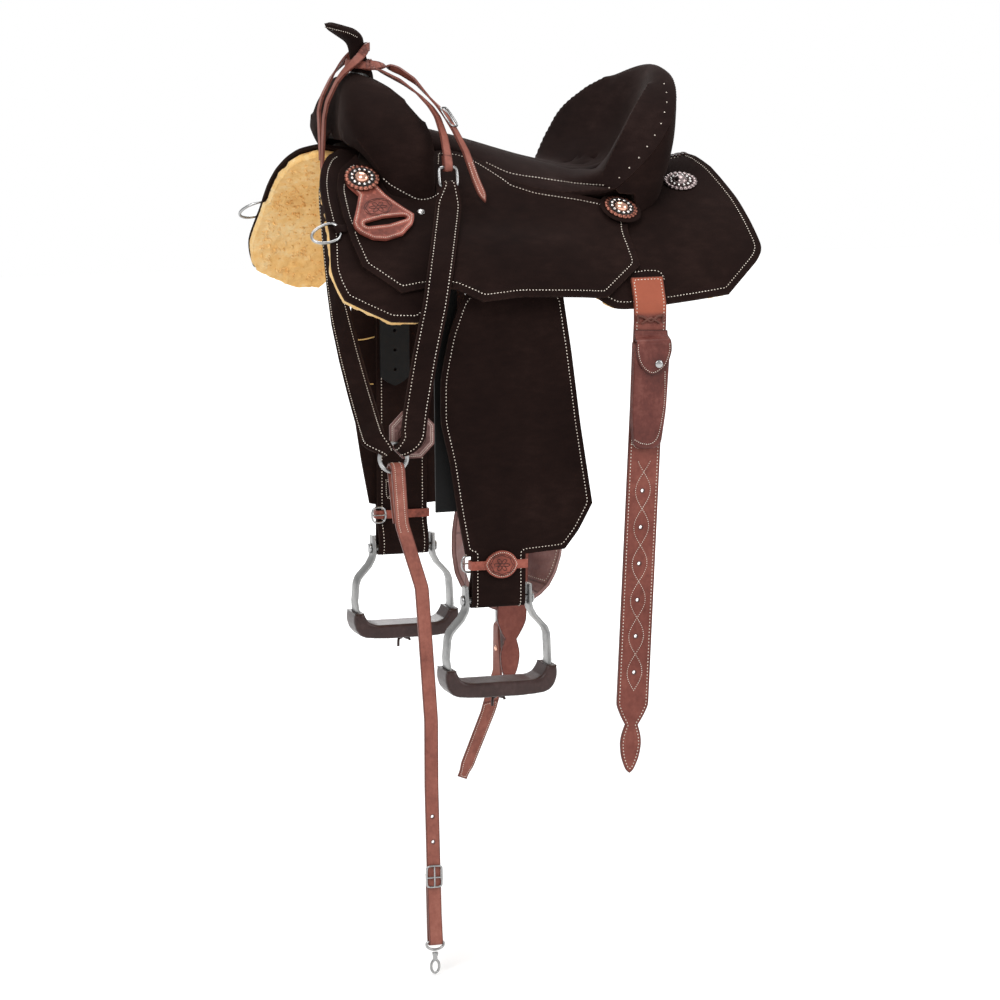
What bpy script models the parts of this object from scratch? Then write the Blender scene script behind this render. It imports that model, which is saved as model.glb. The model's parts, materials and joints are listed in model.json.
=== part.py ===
# Barrel racing saddle: tree, skirts, jockeys, padded seat, fenders, stirrups, breast collar and flank straps.
# The saddle faces -X, its near side is -Y, and Z is up. The origin lies on the centre plane under the seat.
# Sizes below are in millimetres; mm turns them into metres when a mesh is made.

import math

import bmesh
import bpy
import numpy as np
from mathutils import Matrix, Vector

mm = 0.001

# Layers, measured square to the horse's back from the under face of the skirt
leather_gap = 0.6
seat_gap = 0.35
skirt_thickness = 5.0
fleece_thickness = 12.0
bar_height = 11.0
jockey_thickness = 5.0
seat_lift = 17.0
fender_room = 12.0
rigging_leather = 4.0

# Horse's back: ridge height, roof angle, ridge rounding, lower curl and where it starts, at front, middle, rear
back_span = 300.0
ridge_height = (186.0, 110.0, 128.0)
roof_angle = (41.0, 24.0, 31.0)
ridge_rounding = (24.0, 30.0, 36.0)
side_curl = (0.19, 0.26, 0.19)
curl_start = (200.0, 150.0, 170.0)

# Fork and horn
fork_axis_z = 110.0
fork_top_radius = 144.0
fork_side_radius = 149.0
gullet_height = 40.0
gullet_half_width = 103.0
fork_front_x = -240.0
fork_rear_x = -190.0
cover_thickness = 4.0
horn_neck_radius = 12.5
horn_cap_length = 58.0
horn_cap_width = 50.0
horn_wrap_thickness = 2.6
horn_top_z = 320.0

# Seat and cantle
seat_thickness = 8.0
ground_seat_thickness = 4.0
cantle_cover_thickness = 3.0
cantle_wall = 4.0

# Conchos and keeper
rosette_radius = 23.5
concho_radius = 16.0
button_radius = 8.0
keeper_slot_width = 7.5

# Fenders and stirrups
fender_inner_y = 232.2
fender_thickness = 5.0
fender_hinge_x = -60.0
fender_hinge_z = -34.0
fender_crown = 43.0
stirrup_centre_x = -78.0
bolt_z = -460.0
bolt_radius = 5.0
bolt_clearance = 0.6
neck_width = 76.0
stirrup_leg_width = 26.0
stirrup_metal = 6.0
stirrup_foot_width = 40.0
stirrup_wrap_width = 50.0
stirrup_half_width = 73.0
wrap_wall = 3.0
stirrup_drop = 120.0
hobble_width = 12.0
hobble_thickness = 3.0

# Breast collar and tie down
collar_y = 268.0
arm_width = 35.0
arm_thickness = 4.0
wither_width = 12.0
wither_thickness = 3.0
ring_wire = 3.0
centre_ring_radius = 20.0
ring_slack = 0.7
tie_width = 19.0
tie_thickness = 3.6
tie_hole_radius = 2.4

# Flank straps
billet_width = 46.0
billet_thickness = 4.0
billet_hole_radius = 2.6
billet_hole_pitch = 50.8
billet_length = 690.0
far_billet_length = 668.0
sheath_depth = 14.0
sheath_wall = 3.0
cinch_width = 60.0
cinch_thickness = 7.0
dee_wire = 2.4

for old in list(bpy.data.objects):
    bpy.data.objects.remove(old, do_unlink=True)

scene = bpy.context.scene
parts = bpy.data.collections.new("barrel_saddle")
scene.collection.children.link(parts)
cutters = bpy.data.collections.new("cutters")
scene.collection.children.link(cutters)


def leather(name, red, green, blue, rough, metal=0.0):
    """A material with one colour."""
    found = bpy.data.materials.new(name)
    found.use_nodes = True
    shader = found.node_tree.nodes["Principled BSDF"]
    shader.inputs["Base Color"].default_value = (red, green, blue, 1.0)
    shader.inputs["Roughness"].default_value = rough
    shader.inputs["Metallic"].default_value = metal
    found.diffuse_color = (red, green, blue, 1.0)
    return found


def face_out(bm):
    """All faces of a closed mesh point outwards."""
    bmesh.ops.recalc_face_normals(bm, faces=bm.faces)
    if bm.calc_volume(signed=True) < 0:
        bmesh.ops.reverse_faces(bm, faces=bm.faces)


def add_object(name, bm, colour, rough, metal=0.0, hinge=None):
    """Closes a mesh into a named part; the origin goes on the hinge when there is one."""
    bmesh.ops.triangulate(bm, faces=[f for f in bm.faces if len(f.verts) > 4])
    face_out(bm)
    mesh = bpy.data.meshes.new(name)
    bm.to_mesh(mesh)
    bm.free()
    obj = bpy.data.objects.new(name, mesh)
    parts.objects.link(obj)
    if hinge is not None:
        at = Vector(hinge) * mm
        mesh.transform(Matrix.Translation(-at))
        obj.location = at
    mesh.materials.append(leather(name, *colour, rough, metal))
    mesh.shade_smooth()
    mesh.set_sharp_from_angle(angle=math.radians(38))
    return obj


def take_mesh(obj):
    """The evaluated mesh of an object in world space, as a bmesh; the object goes."""
    bpy.context.view_layer.update()
    graph = bpy.context.evaluated_depsgraph_get()
    mesh = bpy.data.meshes.new_from_object(obj.evaluated_get(graph))
    mesh.transform(obj.matrix_world)
    bm = bmesh.new()
    bm.from_mesh(mesh)
    bpy.data.meshes.remove(mesh)
    bpy.data.objects.remove(obj, do_unlink=True)
    return bm


def cutter_object(name, bm):
    """A guide solid that the build leaves out."""
    face_out(bm)
    mesh = bpy.data.meshes.new(name)
    bm.to_mesh(mesh)
    bm.free()
    obj = bpy.data.objects.new(name, mesh)
    cutters.objects.link(obj)
    obj.hide_render = True
    obj.display_type = "WIRE"
    return obj


def carve(obj, cutter, how="DIFFERENCE"):
    """Leaves an exact Boolean on the part."""
    mod = obj.modifiers.new(cutter.name, "BOOLEAN")
    mod.operation = how
    mod.solver = "EXACT"
    mod.object = cutter
    return mod


def mirrored(obj, name):
    """The far twin of a near part, as its own object and mesh."""
    mesh = obj.data.copy()
    mesh.name = name
    flip = Matrix.Scale(-1.0, 4, (0.0, 1.0, 0.0))
    mesh.transform(flip)
    mesh.flip_normals()
    twin = bpy.data.objects.new(name, mesh)
    twin.location = (obj.location.x, -obj.location.y, obj.location.z)
    parts.objects.link(twin)
    mesh.materials.clear()
    paint = obj.data.materials[0].copy()
    paint.name = name
    mesh.materials.append(paint)
    for mod in obj.modifiers:
        if mod.type == "BOOLEAN":
            carve(twin, mod.object, mod.operation)
    return twin


# ---- curves and frames


def ease(low, high, value):
    """Smooth step from 0 at low to 1 at high."""
    t = min(1.0, max(0.0, (value - low) / (high - low)))
    return t * t * (3.0 - 2.0 * t)


def spline(points, step=4.0):
    """Centripetal Catmull-Rom through the points, sampled about every step."""
    pts = [Vector(p) for p in points]
    ends = [pts[0] * 2 - pts[1]] + pts + [pts[-1] * 2 - pts[-2]]
    out = []
    for i in range(1, len(ends) - 2):
        p0, p1, p2, p3 = ends[i - 1], ends[i], ends[i + 1], ends[i + 2]
        t1 = max(1e-6, (p1 - p0).length ** 0.5)
        t2 = t1 + max(1e-6, (p2 - p1).length ** 0.5)
        t3 = t2 + max(1e-6, (p3 - p2).length ** 0.5)
        count = max(2, int((p2 - p1).length / step) + 1)
        for k in range(count):
            t = t1 + (t2 - t1) * k / count
            a1 = p0 * ((t1 - t) / t1) + p1 * (t / t1)
            a2 = p1 * ((t2 - t) / (t2 - t1)) + p2 * ((t - t1) / (t2 - t1))
            a3 = p2 * ((t3 - t) / (t3 - t2)) + p3 * ((t - t2) / (t3 - t2))
            b1 = a1 * ((t2 - t) / t2) + a2 * (t / t2)
            b2 = a2 * ((t3 - t) / (t3 - t1)) + a3 * ((t - t1) / (t3 - t1))
            out.append(b1 * ((t2 - t) / (t2 - t1)) + b2 * ((t - t1) / (t2 - t1)))
    out.append(pts[-1])
    return out


class Strap:
    """A strap's centre line with the way its outer face looks, read by length along it."""

    def __init__(self, points, faces, step=4.0):
        joined = [tuple(p) + tuple(f) for p, f in zip(points, faces)]
        self.at = spline([p[:3] for p in joined], step)
        marks = [Vector(p[:3]) for p in joined]
        look = []
        spot = 0
        for p in self.at:
            while spot < len(marks) - 2 and (p - marks[spot]).length > (marks[spot + 1] - marks[spot]).length:
                spot += 1
            whole = (marks[spot + 1] - marks[spot]).length
            t = min(1.0, (p - marks[spot]).length / max(whole, 1e-6))
            look.append(Vector(joined[spot][3:]).lerp(Vector(joined[spot + 1][3:]), t).normalized())
        self.look = look
        self.length = [0.0]
        for a, b in zip(self.at, self.at[1:]):
            self.length.append(self.length[-1] + (b - a).length)
        self.total = self.length[-1]
        self.way = []
        for i in range(len(self.at)):
            a = self.at[max(0, i - 1)]
            b = self.at[min(len(self.at) - 1, i + 1)]
            self.way.append((b - a).normalized())

    def frame(self, v):
        v = min(max(v, 0.0), self.total)
        i = int(np.searchsorted(self.length, v, side="right")) - 1
        i = min(max(i, 0), len(self.at) - 2)
        t = (v - self.length[i]) / max(1e-9, self.length[i + 1] - self.length[i])
        spot = self.at[i].lerp(self.at[i + 1], t)
        way = self.way[i].lerp(self.way[i + 1], t).normalized()
        look = self.look[i].lerp(self.look[i + 1], t)
        look = (look - way * look.dot(way)).normalized()
        return spot, way, look

    def place(self, u, v, n):
        """u across the strap, v along it, n off its centre towards its outer face."""
        spot, way, look = self.frame(v)
        return spot + way.cross(look) * u + look * n

    def cuts(self, turn=9.0, reach=70.0):
        """Lengths where the strap has bent enough for a new row of points."""
        found = []
        last_way, last_look, last_v = self.way[0], self.frame(0.0)[2], 0.0
        for i, v in enumerate(self.length[1:-1], 1):
            spot, way, look = self.frame(v)
            bend = math.degrees(max(way.angle(last_way, 0.0), look.angle(last_look, 0.0)))
            if bend > turn or v - last_v > reach:
                found.append(v)
                last_way, last_look, last_v = way, look, v
        return found


def outline_bmesh(loops, fine=3):
    """A filled flat outline one unit thick; a point with a third item "c" is a sharp corner."""
    curve = bpy.data.curves.new("outline", "CURVE")
    curve.dimensions = "2D"
    curve.fill_mode = "BOTH"
    curve.extrude = 0.5
    curve.resolution_u = fine
    for loop in loops:
        line = curve.splines.new("BEZIER")
        line.bezier_points.add(len(loop) - 1)
        line.use_cyclic_u = True
        line.resolution_u = fine
        for knot, p in zip(line.bezier_points, loop):
            knot.co = (p[0], p[1], 0.0)
            kind = "VECTOR" if len(p) > 2 else "AUTO"
            knot.handle_left_type = kind
            knot.handle_right_type = kind
    obj = bpy.data.objects.new("outline", curve)
    cutters.objects.link(obj)
    bm = take_mesh(obj)
    bpy.data.curves.remove(curve)
    bmesh.ops.remove_doubles(bm, verts=bm.verts, dist=0.002)
    bmesh.ops.dissolve_limit(bm, angle_limit=0.004, verts=bm.verts, edges=bm.edges)
    return bm


def slab(loops, place, cuts_u=(), cuts_v=(), fine=3):
    """An outline cut into strips and bent into place; place takes u, v and a side of -1 or +1."""
    bm = outline_bmesh(loops, fine)
    for way, lines in (((1, 0, 0), cuts_u), ((0, 1, 0), cuts_v)):
        for value in lines:
            everything = bm.verts[:] + bm.edges[:] + bm.faces[:]
            spot = Vector(way) * value
            bmesh.ops.bisect_plane(bm, geom=everything, dist=0.0005, plane_co=spot, plane_no=way)
    bmesh.ops.triangulate(bm, faces=[f for f in bm.faces if len(f.verts) > 4])
    for v in bm.verts:
        v.co = Vector(place(v.co.x, v.co.y, 1.0 if v.co.z > 0 else -1.0)) * mm
    return bm


def strap_slab(strap, loops, thickness, turn=9.0, reach=70.0, fine=3):
    """A flat piece with its outline in width and length, bent along a strap's line."""
    half = thickness / 2
    return slab(loops, lambda u, v, side: strap.place(u, v, side * half), (), strap.cuts(turn, reach), fine)


def ribbon(points, faces, width, thickness, step=4.0, turn=9.0, reach=70.0):
    """A plain strap of one width."""
    strap = Strap(points, faces, step)
    half = width / 2
    loop = [(-half, 0.0, "c"), (half, 0.0, "c"), (half, strap.total, "c"), (-half, strap.total, "c")]
    return strap_slab(strap, [loop], thickness, turn, reach)


def circle_loop(u, v, radius, count=4):
    """A small round hole's outline."""
    turn = 2 * math.pi / count
    return [(u + radius * math.cos(k * turn), v + radius * math.sin(k * turn)) for k in range(count)]


def wire(points, radius, closed=False, sides=2):
    """A bent round wire with filled ends."""
    curve = bpy.data.curves.new("wire", "CURVE")
    curve.dimensions = "3D"
    curve.bevel_depth = radius * mm
    curve.bevel_resolution = sides
    curve.use_fill_caps = not closed
    line = curve.splines.new("POLY")
    line.points.add(len(points) - 1)
    line.use_cyclic_u = closed
    for knot, p in zip(line.points, points):
        knot.co = (p[0] * mm, p[1] * mm, p[2] * mm, 1.0)
    obj = bpy.data.objects.new("wire", curve)
    cutters.objects.link(obj)
    bm = take_mesh(obj)
    bpy.data.curves.remove(curve)
    bmesh.ops.remove_doubles(bm, verts=bm.verts, dist=1e-6)
    return bm


def loft(rings, closed=True, caps=True):
    """Skin over rings of points, closed round each ring."""
    bm = bmesh.new()
    rows = [[bm.verts.new(Vector(p) * mm) for p in ring] for ring in rings]
    count = len(rows[0])
    for a, b in zip(rows, rows[1:]):
        for k in range(count if closed else count - 1):
            bm.faces.new((a[k], a[(k + 1) % count], b[(k + 1) % count], b[k]))
    if caps:
        bm.faces.new(list(reversed(rows[0])))
        bm.faces.new(rows[-1])
    return bm


def turned(profile, steps, at, axis, wobble=0.0, lobes=0):
    """A turned piece from (radius, height) pairs, stood on a point along an axis."""
    mesh = bpy.data.meshes.new("profile")
    mesh.from_pydata([(r * mm, 0.0, h * mm) for r, h in profile], [(i, i + 1) for i in range(len(profile) - 1)], [])
    obj = bpy.data.objects.new("profile", mesh)
    cutters.objects.link(obj)
    mod = obj.modifiers.new("turn", "SCREW")
    mod.axis = "Z"
    mod.steps = steps
    mod.render_steps = steps
    mod.use_merge_vertices = True
    mod.merge_threshold = 0.00002
    bm = take_mesh(obj)
    bmesh.ops.remove_doubles(bm, verts=bm.verts, dist=0.00002)
    if lobes:
        edge = max(r for r, h in profile) * mm
        for v in bm.verts:
            r = math.hypot(v.co.x, v.co.y)
            if r > 0.93 * edge:
                grow = 1.0 + wobble * math.cos(lobes * math.atan2(v.co.y, v.co.x))
                v.co.x *= grow
                v.co.y *= grow
    turn = Vector((0, 0, 1)).rotation_difference(Vector(axis).normalized()).to_matrix().to_4x4()
    bm.transform(Matrix.Translation(Vector(at) * mm) @ turn)
    return bm


# ---- the horse's back, as a surface of x along the saddle and s down its side


def along(values, x):
    """A parabola through the front, middle and rear values."""
    front, middle, rear = values
    u = x / back_span
    return middle + (rear - front) / 2 * u + ((rear + front) / 2 - middle) * u * u


grid_step_x = 10.0
grid_step_s = 4.0
grid_x = np.arange(-360.0, 361.0, grid_step_x)
grid_s = np.arange(0.0, 481.0, grid_step_s)


def back_table():
    """Sections of the back: y and z for every x and s of the grid."""
    table = np.zeros((len(grid_x), len(grid_s), 2))
    for i, x in enumerate(grid_x):
        y, z = 0.0, along(ridge_height, x)
        table[i, 0] = (y, z)
        for k, s in enumerate(grid_s[:-1]):
            m = s + grid_step_s / 2
            roof = along(roof_angle, x) * (1 - math.exp(-m / along(ridge_rounding, x)))
            curl = along(side_curl, x) * max(0.0, m - along(curl_start, x))
            a = math.radians(min(86.0, roof + curl))
            y += math.cos(a) * grid_step_s
            z -= math.sin(a) * grid_step_s
            table[i, k + 1] = (y, z)
    return table


back_points = back_table()
back_dx = np.gradient(back_points, grid_step_x, axis=0)
back_ds = np.gradient(back_points, grid_step_s, axis=1)


def read_table(table, x, s):
    fx = (x - grid_x[0]) / grid_step_x
    fs = (s - grid_s[0]) / grid_step_s
    i = int(min(max(math.floor(fx), 0), len(grid_x) - 2))
    k = int(min(max(math.floor(fs), 0), len(grid_s) - 2))
    tx, ts = fx - i, fs - k
    near = table[i, k] * (1 - ts) + table[i, k + 1] * ts
    far = table[i + 1, k] * (1 - ts) + table[i + 1, k + 1] * ts
    return near * (1 - tx) + far * tx


def back_normal(x, s):
    dx = read_table(back_dx, x, s)
    ds = read_table(back_ds, x, s)
    normal = Vector((0.0, ds[0], ds[1])).cross(Vector((1.0, dx[0], dx[1])))
    normal.normalize()
    if normal.y * 0.8 + normal.z * 0.6 < 0:
        normal = -normal
    return normal


def on_back(x, s, n=0.0, side=-1):
    """A point n off the skirt's under face; side -1 is the near side."""
    y, z = read_table(back_points, x, max(0.0, s))
    p = Vector((x, y, z)) + back_normal(x, max(0.0, s)) * n
    return Vector((p.x, p.y * side, p.z))


def face_on_back(x, s, side=-1):
    n = back_normal(x, s)
    return Vector((n.x, n.y * side, n.z))


skirt_top = skirt_thickness
bar_base = skirt_top + leather_gap


def bar_rise(x, s):
    """How far the tree's bars stand above the skirt."""
    rear = ease(60.0, 130.0, x)
    side = 1.0 - ease(110.0 - 15.0 * rear, 185.0 - 35.0 * rear, s)
    ends = ease(-262.0, -225.0, x) * (1.0 - ease(200.0, 214.0, x))
    return bar_height * side * ends


def over_bars(x, s):
    """Under face of whatever lies over the bars and the skirt."""
    return bar_base + bar_rise(x, s) * (1.0 + leather_gap / bar_height)


def jockey_low(x, s):
    seat = seat_lift * ease(-150.0, -80.0, x) * (1.0 - ease(120.0, 205.0, s)) * (1.0 - ease(105.0, 140.0, x) * 0.6)
    room = fender_room * ease(-172.0, -140.0, x) * (1.0 - ease(20.0, 60.0, x)) * ease(190.0, 240.0, s)
    return over_bars(x, s) + seat + room


def jockey_top(x, s):
    return jockey_low(x, s) + jockey_thickness


rows_s = [10.0, 22.0, 38.0, 62.0, 92.0, 130.0, 168.0, 200.0, 228.0, 254.0, 280.0, 306.0, 332.0]
rows_x = [-300.0 + 50.0 * k for k in range(13)]


def back_slab(loops, low, high, side=-1, lines_x=rows_x, lines_s=rows_s, fine=3):
    """A piece that lies on the back between two heights, which may vary over it."""

    def place(x, s, way):
        n = high(x, s) if way > 0 else low(x, s)
        return on_back(x, s, n, side)

    return slab(loops, place, lines_x, lines_s, fine)


def corners(points):
    return [(p[0], p[1], "c") for p in points]


def grown(points, amount):
    """An outline moved outwards by an amount, corner by corner."""
    area = 0.0
    for a, b in zip(points, points[1:] + points[:1]):
        area += a[0] * b[1] - b[0] * a[1]
    turn = 1.0 if area > 0 else -1.0
    out = []
    for i, p in enumerate(points):
        a = Vector(points[i - 1][:2])
        b = Vector(p[:2])
        c = Vector(points[(i + 1) % len(points)][:2])
        e1 = (b - a).normalized()
        e2 = (c - b).normalized()
        n1 = Vector((e1.y, -e1.x)) * turn
        n2 = Vector((e2.y, -e2.x)) * turn
        mid = (n1 + n2).normalized()
        reach = amount / max(0.4, mid.dot(n1))
        q = b + mid * reach
        out.append((q.x, q.y) + tuple(p[2:]))
    return out


dark = (0.026, 0.012, 0.008)
tan = (0.215, 0.062, 0.030)
wool = (0.80, 0.47, 0.17)
silver = (0.72, 0.72, 0.70)
black = (0.010, 0.010, 0.011)
wood = (0.42, 0.28, 0.15)

# ---- skirts and fleece

gullet_edge = 40.0
skirt_outline = [
    (-200, gullet_edge), (-251, 56), (-275, 81), (-288, 109), (-297, 141), (-301, 176), (-302, 234), (-310, 293),
    (-305, 317), (-297, 335), (-269, 346), (-237, 357), (-198, 353), (-176, 330), (-158, 262), (26, 262), (38, 286),
    (51, 299), (63, 309), (81, 321), (103, 322), (154, 319), (248, 314), (305, 264), (312, 249), (310, 220),
    (306, 144), (295, 64), (286, 24), (281, 4), (212, 4), (196, gullet_edge)]

skirt_bm = back_slab([corners(skirt_outline)], lambda x, s: 0.0, lambda x, s: skirt_top)
skirt_near = add_object("skirt_near", skirt_bm, dark, 0.85)
fleece_outline = grown(skirt_outline[1:-3], 2.0)
fleece_outline = [(-196, gullet_edge + 1)] + fleece_outline + [(281, 5), (213, 5), (196, gullet_edge + 1)]
fleece_bm = back_slab([corners(fleece_outline)], lambda x, s: -leather_gap - fleece_thickness, lambda x, s: -leather_gap)
fleece_near = add_object("fleece_near", fleece_bm, wool, 0.95)

# ---- tree bars

bar_outline = [
    (-226, 62), (-205, 50), (-100, 47), (60, 47), (160, 47), (196, 56), (203, 84), (190, 108), (140, 118),
    (60, 124), (-60, 128), (-140, 138), (-205, 146), (-230, 118)]
bar_bm = back_slab([bar_outline], lambda x, s: bar_base + 0.6, lambda x, s: bar_base + bar_rise(x, s))
tree_bar_near = add_object("tree_bar_near", bar_bm, wood, 0.6)

# ---- fork: radial sections round an axis along X


def fork_section(phi, grow):
    """Centre and half sizes of the fork's section in x and radius."""
    bend = math.sin(phi) ** 2
    outer = fork_top_radius + (fork_side_radius - fork_top_radius) * bend + grow
    if abs(math.tan(phi)) * gullet_height < gullet_half_width and abs(phi) < math.pi / 2:
        inner = gullet_height / math.cos(phi)
    else:
        inner = gullet_half_width / abs(math.sin(phi))
    inner -= grow
    taper = ease(62.0, 96.0, abs(math.degrees(phi)))
    front = fork_front_x - 12.0 * math.sin(2 * phi) ** 2 + 32.0 * taper - grow
    rear = fork_rear_x + 55.0 * ease(0.0, 60.0, abs(math.degrees(phi))) + grow
    return (front + rear) / 2, (rear - front) / 2, (outer + inner) / 2, (outer - inner) / 2


def squircle(t, power=3.0):
    c, s = math.cos(t), math.sin(t)
    return math.copysign(abs(c) ** (2 / power), c), math.copysign(abs(s) ** (2 / power), s)


def fork_point(phi, x, r):
    return Vector((x, -r * math.sin(phi), fork_axis_z + r * math.cos(phi)))


fork_angles = [math.radians(a) for a in (-101, -92, -83, -74, -64, -52, -39, -26, -13, 0, 13, 26, 39, 52, 64, 74, 83, 92, 101)]


def fork_solid(grow, count=10):
    rings = []
    for phi in fork_angles:
        xm, hx, rm, hr = fork_section(phi, grow)
        ring = []
        for k in range(count):
            c, s = squircle(2 * math.pi * k / count)
            ring.append(fork_point(phi, xm + hx * c, rm + hr * s))
        rings.append(ring)
    return loft(rings)


def fork_shell(outer_grow, inner_grow, count=9):
    """The cover: open towards the gullet, so its section is a C."""
    rings = []
    for phi in fork_angles:
        ring = []
        for grow, ways in ((outer_grow, 1), (inner_grow, -1)):
            xm, hx, rm, hr = fork_section(phi, grow)
            row = []
            for k in range(count):
                t = math.radians(-48 + 276 * k / (count - 1))
                c, s = squircle(t)
                row.append(fork_point(phi, xm + hx * c, rm + hr * s))
            ring += row[::ways]
        rings.append(ring)
    return loft(rings)


core_shrink = -(cover_thickness + leather_gap + 2.6)
foot_loop = corners([(-290, 20), (-90, 20), (-90, 230), (-290, 230)])
foot_x = [-300.0 + 25.0 * k for k in range(9)]


def below_bars(side):
    return back_slab([foot_loop], lambda x, s: -24.0, lambda x, s: over_bars(x, s) + 0.5, side, foot_x)


foot_cut_near = cutter_object("foot_cut_near", below_bars(-1))
foot_cut_far = cutter_object("foot_cut_far", below_bars(1))
fork_core = add_object("fork_core", fork_solid(core_shrink), wood, 0.6)
fork_cover = add_object("fork_cover", fork_shell(0.0, -cover_thickness), dark, 0.85)
for body in (fork_core, fork_cover):
    carve(body, foot_cut_near)
    carve(body, foot_cut_far)

# ---- horn: rings that lean into the cap

horn_rings = (
    # height above the fork's top ring, x, length, width, lean in degrees
    (-12.0, -205.0, 40.0, 40.0, 0.0), (0.0, -204.0, 36.0, 36.0, 0.0), (10.0, -206.0, 27.0, 27.0, 2.0),
    (24.0, -208.0, 25.0, 25.0, 6.0), (38.0, -211.0, 26.0, 26.0, 10.0), (46.0, -220.0, 44.0, 40.0, 16.0),
    (53.0, -227.0, 58.0, 50.0, 16.0), (60.0, -229.0, 56.0, 47.0, 16.0), (65.0, -230.0, 36.0, 31.0, 16.0))


def horn_solid(grow, count=12, first=0, top_grow=None):
    rings = []
    base = horn_top_z - 67.0
    for i, (h, x, length, width, lean) in enumerate(horn_rings[first:]):
        neck = horn_neck_radius / 12.5 if length < 40 else 1.0
        a = length / 2 * (horn_cap_length / 58.0 if length > 40 else neck) + grow
        b = width / 2 * (horn_cap_width / 50.0 if length > 40 else neck) + grow
        up = grow * min(1.0, max(-1.0, (h - 50.0) / 15.0)) if h > 40 else 0.0
        tilt = math.radians(lean)
        ring = []
        for k in range(count):
            t = 2 * math.pi * k / count
            dx = a * math.cos(t)
            ring.append((x + dx * math.cos(tilt), b * math.sin(t), base + h + up - dx * math.sin(tilt)))
        rings.append(ring)
    return rings


def horn_shell(wall, count=12):
    """The wrap: outside skin, then back down the inside, open at the base."""
    outer = horn_solid(0.0, count)
    inner = horn_solid(-wall, count)
    bm = loft(outer, caps=False)
    bm.verts.ensure_lookup_table()
    bm.faces.new([bm.verts[i] for i in range(len(outer) * count - count, len(outer) * count)])
    rows = [[bm.verts.new(Vector(p) * mm) for p in ring] for ring in inner]
    for a, b in zip(rows, rows[1:]):
        for k in range(count):
            bm.faces.new((a[k], b[k], b[(k + 1) % count], a[(k + 1) % count]))
    bm.faces.new(rows[-1])
    bm.verts.ensure_lookup_table()
    first = [bm.verts[i] for i in range(count)]
    for k in range(count):
        bm.faces.new((first[k], rows[0][k], rows[0][(k + 1) % count], first[(k + 1) % count]))
    return bm


horn_core = add_object("horn_core", loft(horn_solid(-horn_wrap_thickness - leather_gap)), (0.35, 0.35, 0.35), 0.4, 0.9)
horn_wrap = add_object("horn_wrap", horn_shell(horn_wrap_thickness), dark, 0.85)
fork_core_guide = cutter_object("fork_core_guide", fork_solid(core_shrink + 0.8, 20))
fork_cover_guide = cutter_object("fork_cover_guide", fork_solid(leather_gap + 0.5, 22))
horn_guide = cutter_object("horn_guide", loft(horn_solid(-horn_wrap_thickness + 0.1)))
carve(horn_core, fork_core_guide)
carve(horn_wrap, fork_cover_guide)
carve(fork_cover, horn_guide)

# ---- seat jockeys: the leather either side of the seat, cut round the fork

seam_sx = [(-122, 44), (-100, 47), (-78, 60), (-60, 79), (-44, 102), (-26, 126), (4, 137), (44, 143), (98, 151)]
jockey_outline = [
    (-238, 80), (-266, 112), (-278, 156), (-280, 206), (-277, 247), (-268, 286), (-221, 317), (-186, 306),
    (-153, 305), (-111, 321), (-58, 311), (70, 307), (125, 262), (122, 205), (130, 172)]
jockey_outline += [(129, 160)] + seam_sx[::-1] + [(-128, 70), (-146, 125), (-236, 130)]
jockey_rows = [-262.0, -225.0, -175.0, -140.0, -110.0, -80.0, -45.0, 0.0, 35.0, 65.0, 100.0]
jockey_bm = back_slab([corners(jockey_outline)], jockey_low, jockey_top, -1, jockey_rows, rows_s[3:])
jockey_near = add_object("jockey_near", jockey_bm, dark, 0.85)

# ---- seat: rungs from the middle out to the seam, then round the cantle's rim

seat_middle = [(-176, 186), (-126, 174), (-84, 163), (-48, 153), (-16, 143), (20, 132), (56, 123), (92, 115)]
dish = Vector((134.0, 0.0, 111.0))
rim_front = [
    (101, 148, 114), (109, 150, 131), (117, 150, 148), (125, 149, 162), (133, 148, 177), (141, 143, 189),
    (150, 135, 200), (170, 115, 220), (190, 90, 235), (206, 55, 248), (215, 27, 255), (218, 0, 257)]
dot_seam = [
    (116, 160, 95), (135, 159, 109), (155, 156, 126), (173, 153, 143), (189, 149, 161), (203, 141, 181),
    (214, 128, 198), (225, 107, 214), (232, 85, 227), (238, 58, 238), (242, 29, 245), (243, 0, 247)]
seat_columns = 5


def seat_grid():
    """Half of the seat's top as rungs of points, with y from 0 outwards."""
    grid = []
    for (cx, cz), (x, s) in zip(seat_middle, seam_sx):
        edge = on_back(x, s, jockey_top(x, s), 1)
        middle = Vector((cx, 0.0, cz))
        inward = Vector((0.0, -1.0 - leather_gap, 0.0))
        rung = []
        for j in range(seat_columns + 1):
            v = j / seat_columns
            flat = middle.lerp(edge + inward, v)
            flat.x = middle.x + (edge.x - middle.x) * v * v
            flat.z = middle.z + (edge.z - middle.z) * v ** 2.4
            rung.append(flat)
        grid.append(rung)
    for e, d in zip(rim_front, dot_seam):
        e, d = Vector(e), Vector(d)
        rung = []
        for j in range(seat_columns - 1):
            v = j / (seat_columns - 2)
            flat = dish.lerp(e, v)
            flat.z = dish.z + (e.z - dish.z) * v ** 2.2
            rung.append(flat)
        roll = (e + d) / 2 + Vector((0.0, 1.5, 4.0))
        if e.y == 0:
            roll.y = 0.0
        rung += [roll, d]
        grid.append(rung)
    return grid


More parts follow.
